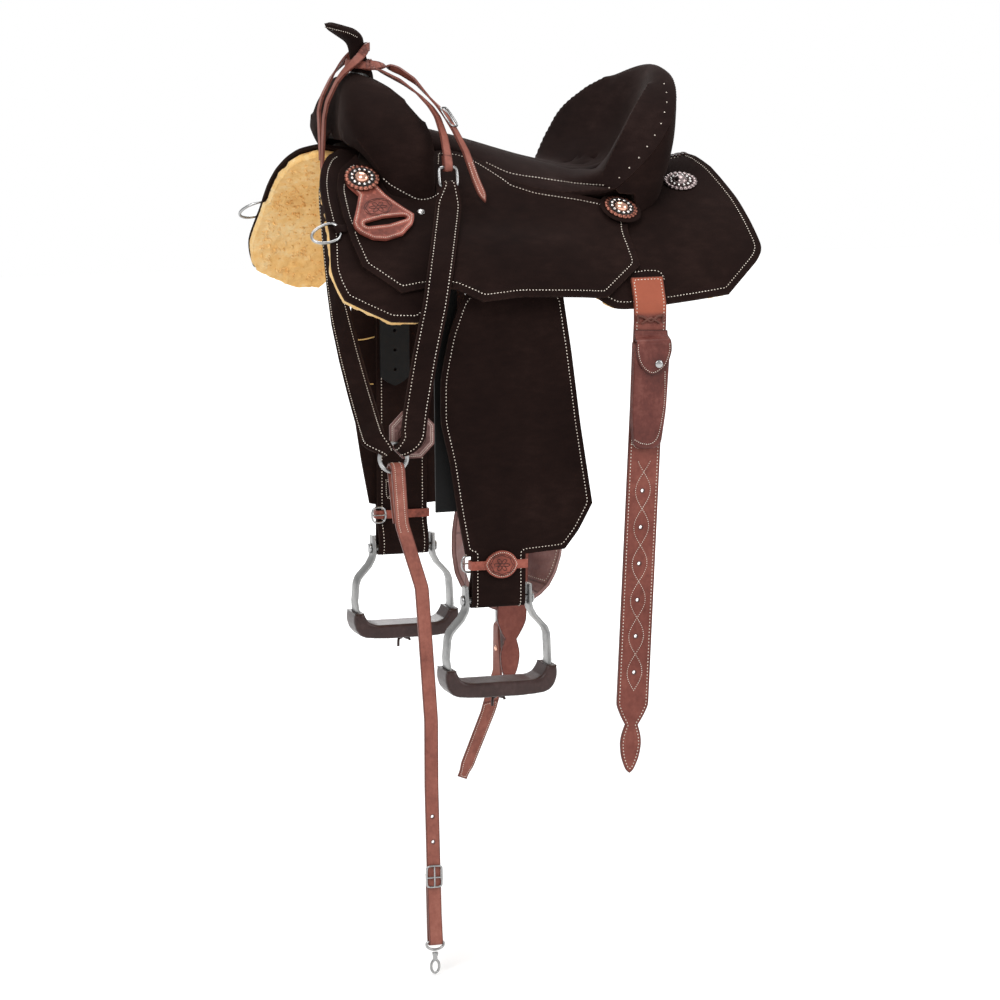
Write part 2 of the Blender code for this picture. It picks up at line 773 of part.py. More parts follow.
def grid_normals(grid):
    """Outward normals of a half grid whose last rung lies on the centre plane."""
    flip = Vector((1.0, -1.0, 1.0))
    out = []
    for i, rung in enumerate(grid):
        row = []
        for j, p in enumerate(rung):
            before = grid[i - 1][j] if i else p
            middle_rung = all(abs(q.y) < 1e-6 for q in rung)
            ending = grid[i - 1][j] * flip if middle_rung else p
            after = grid[i + 1][j] if i + 1 < len(grid) else ending
            left = rung[j - 1] if j else rung[1] * flip
            right = rung[j + 1] if j + 1 < len(rung) else p
            normal = (after - before).cross(right - left)
            row.append(normal.normalized() if normal.length > 1e-9 else Vector((0, 0, 1)))
        out.append(row)
    return out


def half_surface(grid, shift):
    """The grid moved along its normals and mirrored to the other side, as one open mesh."""
    bm = bmesh.new()
    normals = grid_normals(grid)
    rows = []
    for rung, look in zip(grid, normals):
        row = []
        for p, n in zip(rung, look):
            way = n if p.y > 1e-6 else Vector((n.x, 0.0, n.z)).normalized()
            q = p + way * shift
            row.append(bm.verts.new(Vector((q.x, max(q.y, 0.0), q.z)) * mm))
        rows.append(row)
    for a, b in zip(rows, rows[1:]):
        for j in range(len(a) - 1):
            bm.faces.new((a[j], a[j + 1], b[j + 1], b[j]))
    bmesh.ops.remove_doubles(bm, verts=bm.verts, dist=0.00002)
    everything = bm.verts[:] + bm.edges[:] + bm.faces[:]
    bmesh.ops.mirror(bm, geom=everything, axis="Y", merge_dist=0.00002)
    bmesh.ops.remove_doubles(bm, verts=bm.verts, dist=0.00002)
    bmesh.ops.recalc_face_normals(bm, faces=bm.faces)
    if sum(f.normal.z * f.calc_area() for f in bm.faces) < 0:
        bmesh.ops.reverse_faces(bm, faces=bm.faces)
    return bm


def skin(name, bm, thickness, colour, rough):
    """An open surface that Solidify makes into leather, inwards from its face."""
    mesh = bpy.data.meshes.new(name)
    bm.to_mesh(mesh)
    bm.free()
    obj = bpy.data.objects.new(name, mesh)
    parts.objects.link(obj)
    mod = obj.modifiers.new("thickness", "SOLIDIFY")
    mod.thickness = thickness * mm
    mod.offset = -1.0
    mod.use_even_offset = True
    mesh.materials.append(leather(name, *colour, rough))
    mesh.shade_smooth()
    mesh.set_sharp_from_angle(angle=math.radians(38))
    return obj


front_rungs = len(seat_middle)
seat_half = seat_grid()
seat_cover = skin("seat_cover", half_surface(seat_half, 0.0), seat_thickness, dark, 0.9)
carve(seat_cover, fork_cover_guide)


def seat_room(gap):
    """The seat's solid grown on all sides, to cut its room in the cantle."""
    grid = []
    for rung in seat_half:
        reach = (rung[-1] - rung[-2]).normalized() * gap
        grid.append(rung[:-1] + [rung[-1] + reach])
    mesh = bpy.data.meshes.new("seat_room")
    bm = half_surface(grid, gap)
    bm.to_mesh(mesh)
    bm.free()
    obj = bpy.data.objects.new("seat_room", mesh)
    cutters.objects.link(obj)
    obj.hide_render = True
    obj.display_type = "WIRE"
    mod = obj.modifiers.new("thickness", "SOLIDIFY")
    mod.thickness = (seat_thickness + 2 * gap) * mm
    mod.offset = -1.0
    mod.use_even_offset = True
    return obj


seat_guide = seat_room(1.0)
seat_floor = corners([(-190, 24), (222, 24), (222, 178), (-190, 178)])
for side, label in ((-1, "near"), (1, "far")):
    floor_bm = back_slab([seat_floor], lambda x, s: -26.0, lambda x, s: over_bars(x, s) + 0.8, side)
    carve(seat_cover, cutter_object("seat_floor_" + label, floor_bm))

# ---- ground seat: the rigid strainer under the padding
ground_half = [rung[:seat_columns - 1] for rung in seat_half[1:front_rungs - 2]]
ground_seat = skin("ground_seat", half_surface(ground_half, -seat_thickness - leather_gap), ground_seat_thickness, wood, 0.6)
carve(ground_seat, fork_cover_guide)

# ---- cantle: back cover from the dotted seam down to the skirts, and the block inside

cantle_foot = [
    (136, 168), (143, 165), (151, 161), (161, 155), (172, 148), (184, 139), (195, 126), (204, 108), (210, 86),
    (214, 58), (217, 30), (218, 3)]


def cantle_back(gap):
    """Half of the cantle's back: rungs from the seam down to the skirt."""
    grid = []
    for d, (x, s) in zip(dot_seam, cantle_foot):
        top = Vector(d)
        foot = on_back(x, s, over_bars(x, s) + 1.0, 1)
        if top.y == 0:
            foot.y = 0.0
        out = Vector((0.5 + 0.4 * (x > 200), 0.7 * min(1.0, top.y / 100.0), 0.2)).normalized()
        drop = foot - top
        rung = [top + drop.normalized() * gap]
        for v, bulge in ((0.18, 0.5), (0.4, 0.85), (0.7, 0.7)):
            p = top + drop * v + out * (bulge * min(9.0, drop.length * 0.09))
            if top.y == 0:
                p.y = 0.0
            rung.append(p)
        rung.append(foot)
        grid.append(rung)
    return grid


back_half = cantle_back(1.0)
back_open = half_surface(back_half, 0.0)
if sum(f.normal.x * f.calc_area() for f in back_open.faces) < 0:
    bmesh.ops.reverse_faces(back_open, faces=back_open.faces)
cantle_cover = skin("cantle_cover", back_open, cantle_cover_thickness, dark, 0.85)
carve(cantle_cover, seat_guide)


def cantle_block():
    """Closed block inside the cantle, between the seat's padding and the back cover."""
    rungs = seat_grid()[front_rungs:]
    front_normals = grid_normals(seat_grid())[front_rungs:]
    back_normals = grid_normals(back_half)
    inner = seat_thickness + 3.4
    behind = cantle_cover_thickness + 2.0
    rings = []
    for i in range(2, len(rungs)):
        ring = []
        for j in range(2, len(rungs[i])):
            n = front_normals[i][j]
            if n.z < 0:
                n = -n
            ring.append(rungs[i][j] - n * inner)
        for j in range(1, len(back_half[i])):
            n = back_normals[i][j]
            if n.x < 0:
                n = -n
            ring.append(back_half[i][j] - n * behind)
        if i == len(rungs) - 1:
            ring = [Vector((p.x, 0.0, p.z)) for p in ring]
        rings.append(ring)
    far = [[Vector((p.x, -p.y, p.z)) for p in ring] for ring in rings[:-1]]
    return loft(rings + far[::-1])


cantle_core = add_object("cantle_core", cantle_block(), wood, 0.6)
carve(cantle_core, seat_guide)

# ---- fittings that sit on the leather


def seat_on(x, s, height, radius, side=-1, gap=0.5):
    """Where a flat disc rests on the leather at x, s: its under face's centre and the way it looks."""
    step = radius * 0.8
    middle = on_back(x, s, height(x, s), side)
    ahead = on_back(x + step, s, height(x + step, s), side)
    behind = on_back(x - step, s, height(x - step, s), side)
    lower = on_back(x, s + step, height(x, s + step), side)
    upper = on_back(x, s - step, height(x, s - step), side)
    look = (ahead - behind).cross(lower - upper).normalized()
    if look.dot(face_on_back(x, s, side)) < 0:
        look = -look
    lift = 0.0
    for k in range(24):
        t = 2 * math.pi * k / 24
        for r in (radius, radius * 0.6):
            px, ps = x + r * math.cos(t), s + r * math.sin(t)
            lift = max(lift, (on_back(px, ps, height(px, ps), side) - middle).dot(look))
    return middle + look * (lift + gap), look


concho_profile = [
    (0.0, 8.2), (button_radius * 0.8, 6.8), (button_radius, 4.8), (concho_radius - 2.0, 5.4), (concho_radius, 3.0),
    (rosette_radius, 2.4), (rosette_radius, 0.0), (0.0, 0.0)]


def concho(name, x, s, height, colour, gap=0.5):
    """A domed button in a dish on a scalloped rosette, with its far twin."""
    at, look = seat_on(x, s, height, rosette_radius, -1, gap)
    near = add_object(name + "_near", turned(concho_profile, 20, at, look, 0.05, 10), colour, 0.35, 0.8)
    return near, mirrored(near, name + "_far")


keeper_low = 2.2


def keeper_base(x, s):
    return jockey_top(x, s) + keeper_low


def keeper_top(x, s):
    return keeper_base(x, s) + rigging_leather


def rear_leather(x, s):
    return max(skirt_top, jockey_top(x, s) if x < 130 and s > 160 else skirt_top)


keeper_outline = [
    (-252, 167), (-263, 150), (-261, 130), (-245, 119), (-229, 127), (-224, 148), (-204, 172), (-182, 193, "c"),
    (-188, 212), (-230, 244), (-264, 238), (-271, 222)]
slot_a = Vector((-252.0, 222.0))
slot_b = Vector((-197.0, 201.0))
slot_way = (slot_b - slot_a).normalized() * (keeper_slot_width / 2)
slot_side = Vector((-slot_way.y, slot_way.x))
slot_loop = [slot_a + slot_side, slot_b + slot_side, slot_b + slot_way, slot_b - slot_side, slot_a - slot_side, slot_a - slot_way]
keeper_bm = back_slab([keeper_outline, [tuple(p) for p in slot_loop]], keeper_base, keeper_top, -1, (-250, -220, -190), (140, 165, 190, 215), 2)
latigo_keeper = add_object("latigo_keeper", keeper_bm, tan, 0.55)

front_concho = concho("front_concho", -243, 137, keeper_top, silver)
seat_concho = concho("seat_concho", 122, 165, lambda x, s: max(jockey_top(x, s), over_bars(x, s) + 9.0), silver)
for side, label in ((-1, "near"), (1, "far")):
    spot, way = seat_on(122, 165, lambda x, s: max(jockey_top(x, s), over_bars(x, s) + 9.0), rosette_radius, side)
    room_profile = [(0.0, 14.0), (rosette_radius + 1.8, 14.0), (rosette_radius + 1.8, -0.4), (0.0, -0.4)]
    concho_room = cutter_object("concho_room_" + label, turned(room_profile, 16, spot, way))
    carve(cantle_cover, concho_room)
    carve(seat_cover, concho_room)
rear_concho = concho("rear_concho", 240, 88, lambda x, s: skirt_top, silver)

# ---- skirt lacing behind the cantle

lace_count = 5
lace_pitch = 5.0
lace_wire = 1.1
lace_points = []
for k in range(lace_count):
    lace_x = 258.0 + lace_pitch * k
    way = (-1) ** k
    for y in (-11.0, -5.0, 0.0, 5.0, 11.0):
        lace_points.append(on_back(lace_x, abs(y), skirt_top + lace_wire + seat_gap, way if y > 0 else -way))
    if k < lace_count - 1:
        lace_points.append(on_back(lace_x + lace_pitch / 2, 13.6, skirt_top + lace_wire + seat_gap, way))
skirt_lacing = add_object("skirt_lacing", wire(lace_points, lace_wire, sides=1), tan, 0.6)


# ---- rings


def ring_loop(at, u, v, half_u, half_v, power=4.0, count=16):
    """Points round a rounded rectangle in the plane of u and v."""
    u, v, at = Vector(u).normalized(), Vector(v).normalized(), Vector(at)
    out = []
    for k in range(count):
        c, s = squircle(2 * math.pi * (k + 0.5) / count, power)
        out.append(at + u * (half_u * c) + v * (half_v * s))
    return out


def dee_loop(a, b, reach, count=9, swell=0.12):
    """A dee: a straight bar from a to b and a bow that reaches out from it."""
    a, b, reach = Vector(a), Vector(b), Vector(reach)
    mid, half = (a + b) / 2, (a - b) / 2
    out = []
    for k in range(count):
        t = math.radians(90 - 180 * k / (count - 1))
        grow = 1.0 + swell * math.sin(2 * abs(t)) if abs(t) < math.pi / 2 else 1.0
        out.append(mid + half * (math.sin(t) * grow) + reach * max(0.0, math.cos(t)) ** 0.75)
    return out


dee_n = skirt_top + seat_gap + dee_wire
dee_a = on_back(-292.0, 216.0, dee_n)
dee_b = on_back(-285.0, 243.0, dee_n)
dee_reach = on_back(-329.0, 252.0, dee_n) - (dee_a + dee_b) / 2
dee_mid = (dee_a + dee_b) / 2
collar_dee_near = add_object("collar_dee_near", wire(dee_loop(dee_a, dee_b, dee_reach), dee_wire, True), silver, 0.3, 1.0, dee_mid)
collar_dee_far = mirrored(collar_dee_near, "collar_dee_far")


def clear_fork(p, gap):
    """Moves a point out of the fork's cover until it stands gap off it."""
    p = Vector(p)
    r = math.hypot(p.y, p.z - fork_axis_z)
    phi = math.atan2(-p.y, p.z - fork_axis_z)
    xm, hx, rm, hr = fork_section(phi, gap)
    dx, dr = (p.x - xm) / hx, (r - rm) / hr
    inside = (abs(dx) ** 3 + abs(dr) ** 3) ** (1 / 3)
    if inside < 1.0 and dr > -0.6:
        return fork_point(phi, xm + dx / inside * hx, rm + dr / inside * hr)
    return p


def fork_look(p):
    """The way the fork's cover faces at a point."""
    p = Vector(p)
    r = math.hypot(p.y, p.z - fork_axis_z)
    phi = math.atan2(-p.y, p.z - fork_axis_z)
    xm, hx, rm, hr = fork_section(phi, 0.0)
    dx, dr = (p.x - xm) / hx, (r - rm) / hr
    gx = math.copysign(abs(dx) ** 2, dx) / hx
    gr = math.copysign(abs(dr) ** 2, dr) / hr
    return Vector((gx, -gr * math.sin(phi), gr * math.cos(phi))).normalized()


# ---- wither straps: one looped round the horn's neck to each side of the collar

strap_off = leather_gap + wither_thickness / 2
out_x, out_y, out_z = Vector((1, 0, 0)), Vector((0, 1, 0)), Vector((0, 0, 1))


def on_fork(x, y, z, gap=strap_off):
    p = clear_fork((x, y, z), gap)
    return p, fork_look(p)


def merge_path(*pieces):
    points, looks = [], []
    for p, look in pieces:
        points.append(Vector(p))
        looks.append(Vector(look))
    return points, looks


ring_near_at = Vector((-129.5, -170.0, 118.0))
ring_near_v = Vector((0.0, -0.22, -1.0)).normalized()
ring_near_u = Vector((1.0, 0.0, 0.0))
ring_half_u, ring_half_v = 13.0, 13.5
fold_inner = ring_wire + 0.6
near_fold = fold_inner + wither_thickness / 2


def fold(at, bar_way, from_way, look, radius, turn=200.0, count=7):
    """Half a turn of a strap round a bar, starting on the side it faces."""
    at, look = Vector(at), Vector(look).normalized()
    back = -Vector(from_way).normalized()
    out = []
    for k in range(count):
        t = math.radians(turn * k / (count - 1))
        way = look * math.cos(t) - back * math.sin(t)
        out.append((at + way * radius, way))
    return out


ring_top = ring_near_at - ring_near_v * ring_half_v
ring_bottom = ring_near_at + ring_near_v * ring_half_v
look_near = Vector((0.0, -1.0, 0.22)).normalized()
near_pieces = [(p, n) for p, n in fold(ring_top, ring_near_u, ring_near_v, look_near, near_fold)][::-1]
near_pieces = [(ring_top - ring_near_v * 16.0 - look_near * 3.0, -look_near)] + near_pieces
near_pieces += [
    on_fork(-126, -144, 165, strap_off + 3.0), on_fork(-128, -130, 188), on_fork(-134, -118, 205), on_fork(-146, -95, 224),
    on_fork(-165, -62, 243), on_fork(-186, -36, 256)]
neck_r = 16.0 + strap_off
neck_low, neck_high = 264.5, 287.5
for a in (250, 205, 160, 115, 70, 25, -20, -62):
    t = math.radians(a)
    way = Vector((math.cos(t), math.sin(t), 0.0))
    near_pieces.append((Vector((-206.5, 0.0, neck_low)) + way * neck_r, way + Vector((0, 0, 0.15))))
near_pieces += [
    on_fork(-166, -28, 259, strap_off + 1.6), on_fork(-147, -64, 245, strap_off + 4.4), on_fork(-134, -98, 222, strap_off + 4.6),
    on_fork(-122, -123, 203, strap_off + 5.0), on_fork(-112, -134, 184, strap_off + 6.0)]
near_pieces += [((-99.0, -142.0, 158.0), (0.45, -0.75, 0.5)), ((-89.0, -153.0, 122.0), (0.3, -0.8, 0.5)), ((-78.0, -176.0, 82.0), (0.1, -0.7, 0.7))]
near_strap = Strap(*merge_path(*near_pieces), step=3.0)
half = wither_width / 2
near_end = near_strap.total
tip_loop = [(-half, 0.0, "c"), (half, 0.0, "c"), (half, near_end - 12.0, "c"), (0.0, near_end, "c"), (-half, near_end - 12.0, "c")]
wither_strap_near = add_object("wither_strap_near", strap_slab(near_strap, [tip_loop], wither_thickness, 14.0), tan, 0.5)

ring_far_at = Vector((-252.0, 11.0, 104.0))
far_top = ring_far_at + out_z * ring_half_v
far_look = Vector((-1.0, 0.0, 0.0))
far_pieces = [(far_top + Vector((3.0, 1.0, 16.0)), -far_look)] + fold(far_top, out_y, out_z * -1.0, far_look, near_fold)[::-1]
far_pieces += [on_fork(-256, 6, 160), on_fork(-256, -5, 205), on_fork(-240, -18, 246), ((-213.0, -24.5, 274.0), (-0.3, -0.8, 0.4))]
for a in (-52, -10, 32):
    t = math.radians(a)
    way = Vector((math.cos(t), math.sin(t), 0.0))
    far_pieces.append((Vector((-208.5, 0.0, neck_high)) + way * (14.5 + strap_off), way))
far_pieces += [((-213.0, 24.5, 274.0), (-0.3, 0.8, 0.4)), on_fork(-240, 20, 246), on_fork(-258, 21, 205), on_fork(-258, 19, 165), ((-257.5, 16.0, 130.0), (-1, 0, 0))]
wither_strap_far = add_object("wither_strap_far", ribbon(*merge_path(*far_pieces), wither_width, wither_thickness, 3.0, 14.0), tan, 0.5)

buckle_near = Vector((-117.0, -129.0, 194.0))
buckle_v = max(range(len(near_strap.at)), key=lambda k: near_strap.length[k] - 400.0 * (near_strap.at[k] - buckle_near).length)
spot, buckle_way, buckle_look = near_strap.frame(near_strap.length[buckle_v])
buckle_at = spot + buckle_look * (wither_thickness / 2 + 1.6 + 0.1)
buckle_side = buckle_way.cross(buckle_look)
wither_buckle = add_object("wither_buckle", wire(ring_loop(buckle_at, buckle_side, buckle_way, 10.0, 16.0), 1.6, True), silver, 0.3, 1.0)

arm_ring_near = add_object("arm_ring_near", wire(ring_loop(ring_near_at, ring_near_u, ring_near_v, ring_half_u, ring_half_v, 5.0), ring_wire - 0.6, True), silver, 0.3, 1.0)
arm_ring_far = add_object("arm_ring_far", wire(ring_loop(ring_far_at, out_y, out_z, ring_half_u, ring_half_v, 5.0), ring_wire - 0.6, True), silver, 0.3, 1.0)

# ---- breast collar: two arms to the centre ring


def tapered(strap, half_width, narrow, length, tip=None):
    """Outline of a strap that widens from narrow ends."""
    end = strap.total
    right = [(narrow, 0.0, "c"), (narrow, length * 0.5, "c"), (half_width, length, "c"), (half_width, end - length, "c"), (narrow, end - length * 0.5, "c"), (narrow, end, "c")]
    left = [(-u, v, "c") for u, v, c in right]
    return right + left[::-1]


arm_fold = fold_inner + arm_thickness / 2
collar_ring = Vector((-238.0, -collar_y, -250.0))
near_out = Vector((math.cos(math.radians(45)), 0.0, math.sin(math.radians(45))))
near_stop = collar_ring + near_out * (centre_ring_radius + ring_slack)
arm_pieces = [(ring_bottom + Vector((-1.0, 7.0, -20.0)), -look_near)] + fold(ring_bottom, ring_near_u, -ring_near_v, look_near, arm_fold)[::-1]
arm_pieces += [(on_back(x, s, n), face_on_back(x, s)) for x, s, n in ((-139, 196, 30), (-148, 224, 28), (-157, 253, 26), (-166, 282, 26))]
arm_pieces += [((-178.0, -collar_y, -44.0), (0, -1, 0)), ((-188.0, -collar_y - 1.0, -92.0), (0, -1, 0)), ((-200.0, -collar_y - 1.0, -146.0), (0, -1, 0)),
               ((-208.5, -collar_y - 4.0, -196.0), (0, -1, 0))]
ring_out = Vector((0.0, -1.0, 0.0))
wide_fold = ring_wire + 4.0 + arm_thickness / 2
arm_pieces += [(near_stop + near_out * 12.0 + ring_out * wide_fold, ring_out)]
arm_pieces += fold(near_stop, out_x, -near_out, ring_out, wide_fold, 190.0)
arm_pieces += [(near_stop + near_out * 14.0 - ring_out * (wide_fold - 1.0), -ring_out)]
near_arm = Strap(*merge_path(*arm_pieces), step=3.0)
arm_loop = tapered(near_arm, arm_width / 2, 9.0, 62.0)
collar_arm_near = add_object("collar_arm_near", strap_slab(near_arm, [arm_loop], arm_thickness, 14.0), dark, 0.85)

far_turn = math.radians(135)
far_stop = collar_ring + Vector((math.cos(far_turn), 0.0, math.sin(far_turn))) * (centre_ring_radius + ring_slack)
far_bar = Vector((math.sin(far_turn), 0.0, -math.cos(far_turn)))
far_from = Vector((-0.45, 0.6, 0.65))
far_from = (far_from - far_bar * far_from.dot(far_bar)).normalized()
far_side = far_bar.cross(far_from)
ring_far_bottom = ring_far_at - out_z * ring_half_v
far_arm_pieces = [(ring_far_bottom + Vector((7.0, 0.0, -16.0)), -far_look)] + fold(ring_far_bottom, out_y, out_z, far_look, arm_fold)[::-1]
far_arm_pieces += [
    ((-255.0, 8.0, 58.0), (-1, 0, 0)), ((-252.0, 2.0, 18.0), (-1, -0.1, 0)), ((-250.0, -10.0, -18.0), (-1, -0.2, 0.1)),
    ((-251.0, -34.0, -48.0), (-1, -0.45, 0.2)), ((-255.0, -72.0, -80.0), (-1, -0.7, 0.3)), ((-259.0, -150.0, -147.0), (-0.9, -0.9, 0.4)),
    ((-261.0, -222.0, -203.0), (-0.8, -0.9, 0.5)), (far_stop + far_from * 16.0 + far_side * wide_fold, far_side)]
far_arm_pieces += fold(far_stop, far_bar, -far_from, far_side, wide_fold, 185.0)
far_arm_pieces += [(far_stop + far_from * 14.0 - far_side * (wide_fold - 0.5), -far_side)]
far_arm = Strap(*merge_path(*far_arm_pieces), step=3.0)
collar_arm_far = add_object("collar_arm_far", strap_slab(far_arm, [tapered(far_arm, arm_width / 2, 9.0, 58.0)], arm_thickness, 14.0), dark, 0.85)

centre_ring = add_object("centre_ring", wire(ring_loop(collar_ring, out_x, out_z, centre_ring_radius, centre_ring_radius, 2.0), ring_wire, True), silver, 0.25, 1.0)

pad_y = near_stop.y + wide_fold + arm_thickness / 2 + 0.5
pad_loop = []
for k in range(8):
    t = math.radians(22.5 + 45 * k)
    pad_loop.append((-208.0 + 34.0 * math.cos(t), -222.0 + 35.0 * math.sin(t), "c"))
pad_bm = slab([pad_loop], lambda u, v, side: Vector((u, pad_y + 2.0 - 2.0 * side, v)))
tooled_pad = add_object("tooled_pad", pad_bm, (0.36, 0.16, 0.12), 0.5)

# ---- tie down strap, with its buckle, swivel and snap

tie_angle = math.radians(-80)
tie_hook = collar_ring + Vector((math.cos(tie_angle), 0.0, math.sin(tie_angle))) * centre_ring_radius
tie_fold = 9.0 + tie_thickness / 2
tie_back = 70.0
tie_look = Vector((0.0, -1.0, 0.0))
tie_pieces = [(tie_hook + Vector((6.0, 3.0, -tie_back)), -tie_look), (tie_hook + Vector((2.0, 7.0, -30.0)), -tie_look)]
tie_pieces += fold(tie_hook, out_x, out_z, tie_look, tie_fold, 190.0)[::-1]
tie_pieces += [
    (tie_hook + Vector((2.0, -6.4, -30.0)), tie_look), (tie_hook + Vector((7.0, -1.6, -tie_back)), tie_look), ((-206.0, -collar_y - 3.0, -390.0), tie_look),
    ((-194.0, -collar_y - 4.0, -516.0), tie_look), ((-187.0, -collar_y - 4.0, -620.0), tie_look), ((-187.0, -collar_y - 4.0, -700.0), tie_look),
    ((-185.0, -collar_y - 4.0, -790.0), tie_look), ((-182.0, -collar_y - 4.0, -905.0), tie_look)]
swivel_at = Vector((-181.5, -collar_y - 2.0, -924.0))
tie_pieces += fold(swivel_at, out_x, -out_z, tie_look, dee_wire + 0.5 + tie_thickness / 2, 190.0)
tie_pieces += [(swivel_at + Vector((-0.5, 4.0, 24.0)), -tie_look), ((-184.0, -collar_y + 1.6, -830.0), -tie_look)]
tie_strap = Strap(*merge_path(*tie_pieces), step=3.0)
tie_half = tie_width / 2
tie_outline = [(-tie_half, 0.0, "c"), (tie_half, 0.0, "c"), (tie_half, tie_strap.total, "c"), (-tie_half, tie_strap.total, "c")]


def strap_v(strap, z, first=0.0):
    """Length along a strap where it first passes a height on its way down."""
    for v, p in zip(strap.length, strap.at):
        if v > first and p.z < z:
            return v
    return strap.total


tie_loops = [tie_outline]
for z in (-748.0, -783.0):
    tie_loops.append(circle_loop(0.0, strap_v(tie_strap, z, 150.0), tie_hole_radius))
tie_hinge = tie_hook
tie_down_strap = add_object("tie_down_strap", strap_slab(tie_strap, tie_loops, tie_thickness, 14.0, 90.0, 2), tan, 0.55, 0.0, tie_hinge)
tie_buckle_at = Vector((-184.3, -collar_y - 4.0, -832.0))
tie_buckle_bm = wire(ring_loop(tie_buckle_at - out_y * (tie_thickness / 2 + 2.1), out_x, out_z, 11.0, 15.0, 6.0), 1.6, True)
tie_down_buckle = add_object("tie_down_buckle", tie_buckle_bm, silver, 0.3, 1.0, tie_hinge)

swivel_low = swivel_at.z - 13.0
swivel_bm = wire(dee_loop(swivel_at + out_x * 12.8, swivel_at - out_x * 12.8, out_z * -13.0), dee_wire - 0.4, True)
snap_swivel = add_object("snap_swivel", swivel_bm, silver, 0.3, 1.0, tie_hinge)
snap_top = Vector((swivel_at.x, swivel_at.y, swivel_low - dee_wire - 0.2))
snap_profile = [(0.0, 0.0), (4.2, -0.2), (4.6, -4.0), (3.0, -6.5), (3.4, -9.0), (3.4, -12.0), (0.0, -12.0)]
snap_stem = turned(snap_profile, 12, snap_top, out_z)
snap_hook = add_object("snap_hook", snap_stem, silver, 0.3, 1.0, snap_top)
hook_loop = ring_loop(snap_top + Vector((0.0, 0.0, -21.0)), out_x, out_z, 6.0, 9.4, 2.0, 14)
hook_guide = cutter_object("hook_guide", wire(hook_loop, 2.0, True))
carve(snap_hook, hook_guide, "UNION")

# ---- fenders: one leather panel whose neck runs round the stirrup's bolt and back up as the stirrup leather

fender_mid_y = fender_inner_y + fender_thickness / 2
ply_gap = 0.5
leather_mid_y = fender_mid_y - fender_thickness - ply_gap
bolt_turn = bolt_radius + bolt_clearance + fender_thickness / 2
stirrup_y = fender_mid_y - bolt_turn
fender_top_z = fender_hinge_z + fender_crown
fender_path = [((0.0, -fender_mid_y, fender_top_z), (0, -1, 0)), ((0.0, -fender_mid_y, -200.0), (0, -1, 0)),
               ((0.0, -fender_mid_y, -420.0), (0, -1, 0)), ((0.0, -fender_mid_y, bolt_z + 14.0), (0, -1, 0))]
for k in range(7):
    t = math.radians(30 * k)
    way = Vector((0.0, -math.cos(t), -math.sin(t)))
    fender_path.append((Vector((0.0, -stirrup_y, bolt_z)) + way * bolt_turn, way))
fender_path += [((0.0, -stirrup_y + bolt_turn, bolt_z + 14.0), (0, 1, 0)), ((0.0, -leather_mid_y + 1.0, -424.0), (0, 1, 0)),
                ((0.0, -leather_mid_y, -412.0), (0, 1, 0)), ((0.0, -leather_mid_y, -240.0), (0, 1, 0)), ((0.0, -leather_mid_y, -66.0), (0, 1, 0))]
fender_strap = Strap(*merge_path(*fender_path), step=2.0)


def fender_z(z):
    """Length along the fender's outer face at a height."""
    return fender_top_z - z


fender_end = fender_strap.total
neck_left = stirrup_centre_x - neck_width / 2
neck_right = stirrup_centre_x + neck_width / 2
fender_front = [(-131, -42), (-149, -92), (-161, -152), (-161, -211), (-148, -265), (-138, -330), (-126, -394)]
fender_back = [(14, -44), (26, -120), (39, -219), (57, -331), (37, -368), (17, -393)]
crown = []
for k in range(7):
    t = math.radians(138 - 96 * k / 6)
    crown.append((fender_hinge_x + fender_crown * math.cos(t), fender_z(fender_hinge_z + fender_crown * math.sin(t))))
crown[3] = (fender_hinge_x, 0.0)
fender_loop = [(x, fender_z(z), "c") for x, z in fender_front[::-1]] + [(x, v, "c") for x, v in crown]
fender_loop += [(x, fender_z(z), "c") for x, z in fender_back]
fender_loop += [(neck_right, fender_z(-397.0), "c"), (neck_right, fender_end, "c"), (neck_left, fender_end, "c"), (neck_left, fender_z(-396.0), "c")]
fender_half = fender_thickness / 2


def place_fender(u, v, side):
    spot, way, look = fender_strap.frame(v)
    return spot + out_x * u + look * (side * fender_half)


fender_bm = slab([fender_loop], place_fender, (), fender_strap.cuts(8.0, 130.0))
fender_hinge = Vector((fender_hinge_x, -fender_mid_y, fender_hinge_z))
fender_near = add_object("fender_near", fender_bm, dark, 0.85, 0.0, fender_hinge)
fender_far = mirrored(fender_near, "fender_far")

# ---- hobble straps round the necks, with a shaped leaf outside

hobble_z = -410.0
hobble_room = 0.6
hob_out = fender_mid_y + fender_half + hobble_room + hobble_thickness / 2
hob_in = leather_mid_y - fender_half - hobble_room - hobble_thickness / 2 - 1.4
hob_left = neck_left - hobble_room - hobble_thickness / 2
hob_right = neck_right + hobble_room + hobble_thickness / 2
hobble_rings = []
hob_mid = Vector(((hob_left + hob_right) / 2, -(hob_out + hob_in) / 2, hobble_z))
hob_half_u, hob_half_v = (hob_right - hob_left) / 2, (hob_out - hob_in) / 2
hob_round = 2.4
for cu, cv, start in ((1, 1, 0), (-1, 1, 90), (-1, -1, 180), (1, -1, 270)):
    for k in range(3):
        t = math.radians(start + 45 * k)
        way = Vector((math.cos(t), math.sin(t), 0.0))
        middle = hob_mid + Vector((cu * (hob_half_u - hob_round), cv * (hob_half_v - hob_round), 0.0)) + way * hob_round
        t, w = way * (hobble_thickness / 2), out_z * (hobble_width / 2)
        hobble_rings.append([middle + t + w, middle + t - w, middle - t - w, middle - t + w])
hobble_bm = loft(hobble_rings + [hobble_rings[0]], True, False)
bmesh.ops.remove_doubles(hobble_bm, verts=hobble_bm.verts, dist=1e-6)
hobble_near = add_object("hobble_near", hobble_bm, tan, 0.5, 0.0, fender_hinge)
